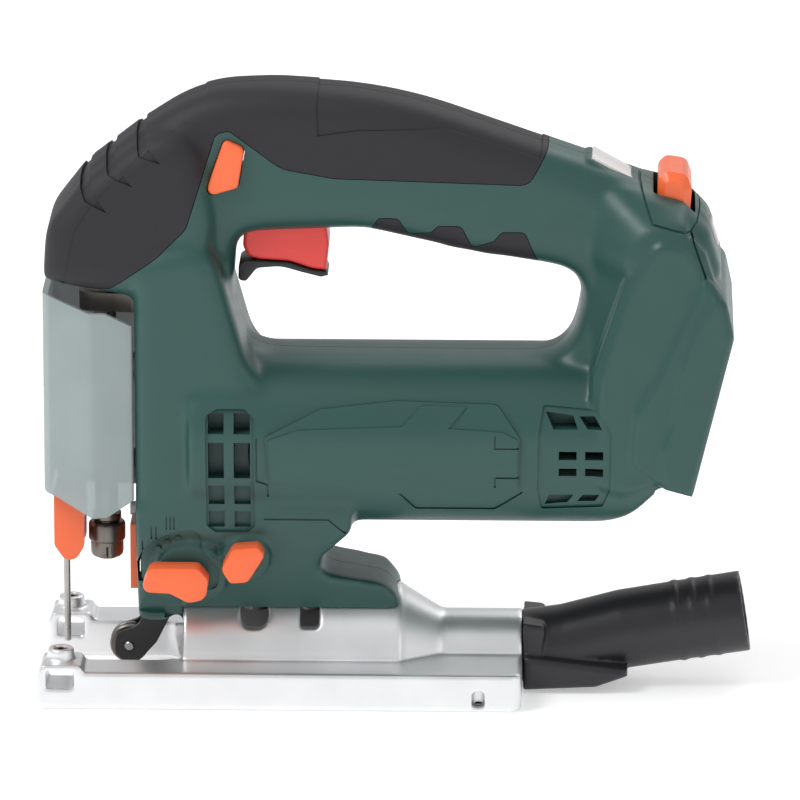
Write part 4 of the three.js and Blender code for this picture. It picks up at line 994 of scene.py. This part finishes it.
# ---- Base ----
class JIGSAW_OT_base(bpy.types.Operator):
    """Cast the tilting base, its saddle and its screws"""

    bl_idname = "jigsaw.base"
    bl_label = "Cast base"

    def execute(self, context):
        settings = context.scene.jigsaw_base
        x0, x1, half, deck = BASE_LOW.x, BASE_HIGH.x, BASE_HIGH.y, 13.2
        inner = 22.2
        slot_end = -75.5
        outline = [
            (x0, -half, 2.5), (x1, -half, 4), (x1, half, 4), (x0, half, 2.5), (x0, inner, 1),
            (slot_end, inner, 6), (slot_end, -inner, 6), (x0, -inner, 1),
        ]
        saddle = [
            (0, -72.5), (24, -72.5), (24, 2.5), (23, 3.6), (16, 15), (15, 17), (15, x1), (0, x1),
        ]
        cast = as_object("cast_base", moulding(outline, "z", 0, deck, 0.8))
        barrel = as_object("saddle", lathe("x", (0, 0, TILT_Z), saddle, 96))
        combine(barrel, "INTERSECT", brick((-100, -60, 3), (60, 60, 60)))
        combine(cast, "UNION", barrel)
        discard(barrel)
        foot = [(x0, 1), (x0, 11, 1.5), (x0 + 1.4, 15.8, 1.5), (x0 + 15, 15.8, 2), (x0 + 17, 11), (x0 + 17, 1)]
        for sign in (-1, 1):
            near, far = sorted((sign * inner, sign * half))
            combine(cast, "UNION", moulding(foot, "y", near, far, 0.8))
            combine(cast, "UNION", bar("z", (GUIDE.x, sign * abs(GUIDE.y), 0), 4.65, 10, 20, 0.6))
        cutters = [lathe("x", (0, 0, TILT_Z), [
            (0, -90), (20.5, -90), (20.5, 0.5), (12, 14), (12, 60), (0, 60),
        ], 96)]
        for sign in (-1, 1):
            near, far = sorted((sign * (inner - 1), sign * (half + 1)))
            cutters.append(brick((GUIDE.x - 4.8, near, 7.2), (GUIDE.x + 4.8, far, 13.8)))
            cutters.append(bar("z", (GUIDE.x, sign * abs(GUIDE.y), 0), 2.5, 13, 22, 0.1))
            wall = sorted((sign * (half - 4), sign * (half + 1)))
            cutters.append(brick((27.7, wall[0], 1.4), (31.8, wall[1], 7.5)))
            recess = sorted((sign * (inner + 4), sign * (half - 6)))
            cutters.append(brick((x0 + 21, recess[0], -1), (x1 - 8, recess[1], 9)))
        for hole in (
            [(-52.8, 23.2, 3.5), (-42.9, 23.2, 4), (-42.9, 31.5, 4), (-47.4, 31.5), (-47.4, 50), (-52.8, 50)],
            [(-32.2, 23.6, 1), (-25.6, 23.6, 1), (-25.6, 50), (-29, 50), (-29, 30), (-32.2, 30, 1)],
        ):
            cutters.append(slab(rounded(hole), "y", -40, 40))
        edge = 3.7
        cutters.append(moulding([
            (x0 + edge, -half + edge, 2), (x1 - edge, -half + edge, 3), (x1 - edge, half - edge, 3),
            (x0 + edge, half - edge, 2), (x0 + edge, inner + 3, 1), (slot_end + 3, inner + 3, 5),
            (slot_end + 3, -inner - 3, 5), (x0 + edge, -inner - 3, 1),
        ], "z", -1, 2.3))
        combine(cast, "DIFFERENCE", *cutters)
        melt(cast, settings.detail, 2)
        finished(cast, "base", "cast_base", look("cast"), "base_plate")
        for side in ("left", "right"):
            node = f"guide_set_screw_{side}"
            spot = middle(node)
            screw = as_object(f"set_screw_{side}", bar("z", spot, 2.2, low(node).z, high(node).z, 0.3))
            combine(screw, "DIFFERENCE", bar("z", spot, 1.2, 17, 21, 0.01, 6))
            finished(screw, "base", "dark_steel", look("oiled"), node)
        return {"FINISHED"}


class JIGSAW_OT_nozzle(bpy.types.Operator):
    """Mould the dust nozzle with its wide root and ribbed hose end"""

    bl_idname = "jigsaw.nozzle"
    bl_label = "Dust nozzle"

    def execute(self, context):
        root = BASE_HIGH.x + 0.3
        line = [
            ((root, 0, 11.4), 0.04), ((60, 0, 13.4), 0.2), ((80, 0, 18.6), 0.2), ((100, 0, 22), 0.16),
            ((121.5, 0, 25.5), 0.16),
        ]
        outer = [13.4, 13.5, 13.7, 13.8, 14]
        skin = [(at, (1, 0, rise), r, r) for (at, rise), r in zip(line, outer)]
        bore = [((at[0] + 2, 0, at[2]), (1, 0, rise), r - 2.3, r - 2.3) for (at, rise), r in zip(line, outer)]
        bore[-1] = ((126, 0, 26.3), (1, 0, 0.16), 11.8, 11.8)
        tube = as_object("nozzle_skin", loft(skin))
        wedge = [(root, 0.8, 1), (70, 2, 4), (81, 6, 2), (81, 9, 1), (root, 13.4)]
        head = [(root, 1, 1), (root + 5, 1.4, 2), (root + 8, 23.4, 2), (root, 24.2, 1)]
        combine(tube, "UNION", moulding(wedge, "y", -17.5, 17.5, 2.4))
        combine(tube, "UNION", moulding(head, "y", -14.5, 14.5, 1.2))
        for at in (98, 104, 110):
            lean = 0.16
            ring = loft([((at, 0, 21.7 + (at - 98) * lean), (1, 0, lean), 14.2, 14.2),
                         ((at + 1.6, 0, 21.95 + (at - 98) * lean), (1, 0, lean), 14.2, 14.2)])
            combine(tube, "UNION", ring)
        combine(tube, "UNION", bar("x", (0, 0, TILT_Z), 11.7, root - 10, root + 1, 0.4))
        combine(tube, "DIFFERENCE", loft(bore), brick((0, -60, -20), (root - 0.1, 60, 2.6)),
                brick((0, -60, -20), (140, 60, 0.6)))
        melt(tube, 0.6 * MM, 2)
        finished(tube, "base", "nozzle_plastic", look("nozzle"), "dust_nozzle")
        return {"FINISHED"}


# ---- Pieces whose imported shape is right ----
KEPT = {
    "orange": ["blade_release_lever", "air_nozzle"],
    "black": ["fan", "brush_card", "pendulum_fork", "switch_module", "electronics_module", "terminal_block"],
    "lens": ["led_lens"],
    "steel": [
        "plunger", "release_pin", "drive_gear", "gear_shaft", "eccentric_pin", "pinion", "motor_can",
        "bearing_front", "bearing_rear", "battery_rail_left", "battery_rail_right", "sole_plate",
    ],
    "oiled": ["gear_case", "clamp_bolt_front", "clamp_bolt_rear", *(f"housing_screw_{i}" for i in range(1, 7))],
    "copper": ["rotor"],
    "brass": ["plunger_bush_lower", "plunger_bush_upper", "contact_positive", "contact_negative"],
}


class JIGSAW_OT_kept(bpy.types.Operator):
    """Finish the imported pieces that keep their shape"""

    bl_idname = "jigsaw.kept"
    bl_label = "Kept pieces"

    def execute(self, context):
        for key, nodes in KEPT.items():
            for node in nodes:
                for slot in NODES[node].material_slots:
                    slot.link = "OBJECT"
                    slot.material = look(key)
        return {"FINISHED"}


# ---- Stage ----
class JIGSAW_OT_stage(bpy.types.Operator):
    """Set the pale floor, the soft lights and the camera"""

    bl_idname = "jigsaw.stage"
    bl_label = "Stage"

    def execute(self, context):
        settings = context.scene.jigsaw_stage
        bm = bmesh.new()
        bmesh.ops.create_grid(bm, x_segments=1, y_segments=1, size=6)
        bmesh.ops.translate(bm, verts=bm.verts, vec=(0, 0, -0.0002))
        floor = as_object("floor", bm)
        paper = Finish("pale_paper", Roughness=0.8, Emission_Color=(1, 1, 1), Emission_Strength=0.38)
        paper.feed("Base Color", paper.blend((0.89, 0.89, 0.89), (0.92, 0.92, 0.92), paper.noise(300, 2)))
        floor.data.materials.append(paper.material)
        world = bpy.data.worlds.new("soft_room")
        world.use_nodes = True
        world.node_tree.nodes["Background"].inputs["Color"].default_value = (1, 1, 1, 1)
        world.node_tree.nodes["Background"].inputs["Strength"].default_value = settings.light
        context.scene.world = world
        context.scene.view_settings.view_transform = "Standard"
        for name, place, size, power in (
            ("key_light", (-0.9, -0.5, 1.4), 0.7, 13),
            ("fill_light", (1.1, -1.1, 0.6), 0.9, 1.5),
            ("back_light", (0.5, 1.0, 1.2), 0.9, 4),
        ):
            lamp = bpy.data.lights.new(name, "AREA")
            lamp.size = size
            lamp.energy = power
            light = bpy.data.objects.new(name, lamp)
            light.location = place
            light.rotation_euler = (Vector((0, 0, 0.1)) - Vector(place)).to_track_quat("-Z", "Y").to_euler()
            context.scene.collection.objects.link(light)
        target = Vector((0.0019, 0, 0.1005))
        turn, rise = settings.azimuth, settings.elevation
        back = Vector((math.sin(turn) * math.cos(rise), -math.cos(turn) * math.cos(rise), math.sin(rise)))
        camera = bpy.data.cameras.new("camera")
        camera.sensor_width = 36
        camera.lens = 391.3
        eye = bpy.data.objects.new("camera", camera)
        eye.location = target + back * settings.distance
        eye.rotation_euler = back.to_track_quat("Z", "Y").to_euler()
        context.scene.collection.objects.link(eye)
        context.scene.camera = eye
        return {"FINISHED"}


PIECES = [
    JIGSAW_OT_housing,
    JIGSAW_OT_controls,
    JIGSAW_OT_front,
    JIGSAW_OT_base,
    JIGSAW_OT_nozzle,
    JIGSAW_OT_kept,
    JIGSAW_OT_stage,
]


class JIGSAW_PT_panel(bpy.types.Panel):
    """Sizes, colours and steps of the jigsaw"""

    bl_label = "Cordless Jigsaw"
    bl_idname = "JIGSAW_PT_panel"
    bl_space_type = "VIEW_3D"
    bl_region_type = "UI"
    bl_category = "Jigsaw"

    def draw(self, context):
        for group in SETTINGS:
            values = getattr(context.scene, group)
            column = self.layout.column(align=True)
            for key in values.bl_rna.properties.keys():
                if key not in ("rna_type", "name"):
                    column.prop(values, key)
        for step in PIECES:
            self.layout.operator(step.bl_idname)


SETTINGS = {
    "jigsaw_housing": JigsawHousingSettings,
    "jigsaw_controls": JigsawControlSettings,
    "jigsaw_base": JigsawBaseSettings,
    "jigsaw_metal": JigsawMetalSettings,
    "jigsaw_stage": JigsawStageSettings,
}


def register():
    for group in (*SETTINGS.values(), *PIECES, JIGSAW_PT_panel):
        bpy.utils.register_class(group)
    for name, group in SETTINGS.items():
        setattr(bpy.types.Scene, name, PointerProperty(type=group))


def unregister():
    for name in SETTINGS:
        delattr(bpy.types.Scene, name)
    for group in reversed((*SETTINGS.values(), *PIECES, JIGSAW_PT_panel)):
        bpy.utils.unregister_class(group)


def main():
    register()
    for step in PIECES:
        category, name = step.bl_idname.split(".")
        getattr(getattr(bpy.ops, category), name)()


if __name__ == "__main__":
    main()
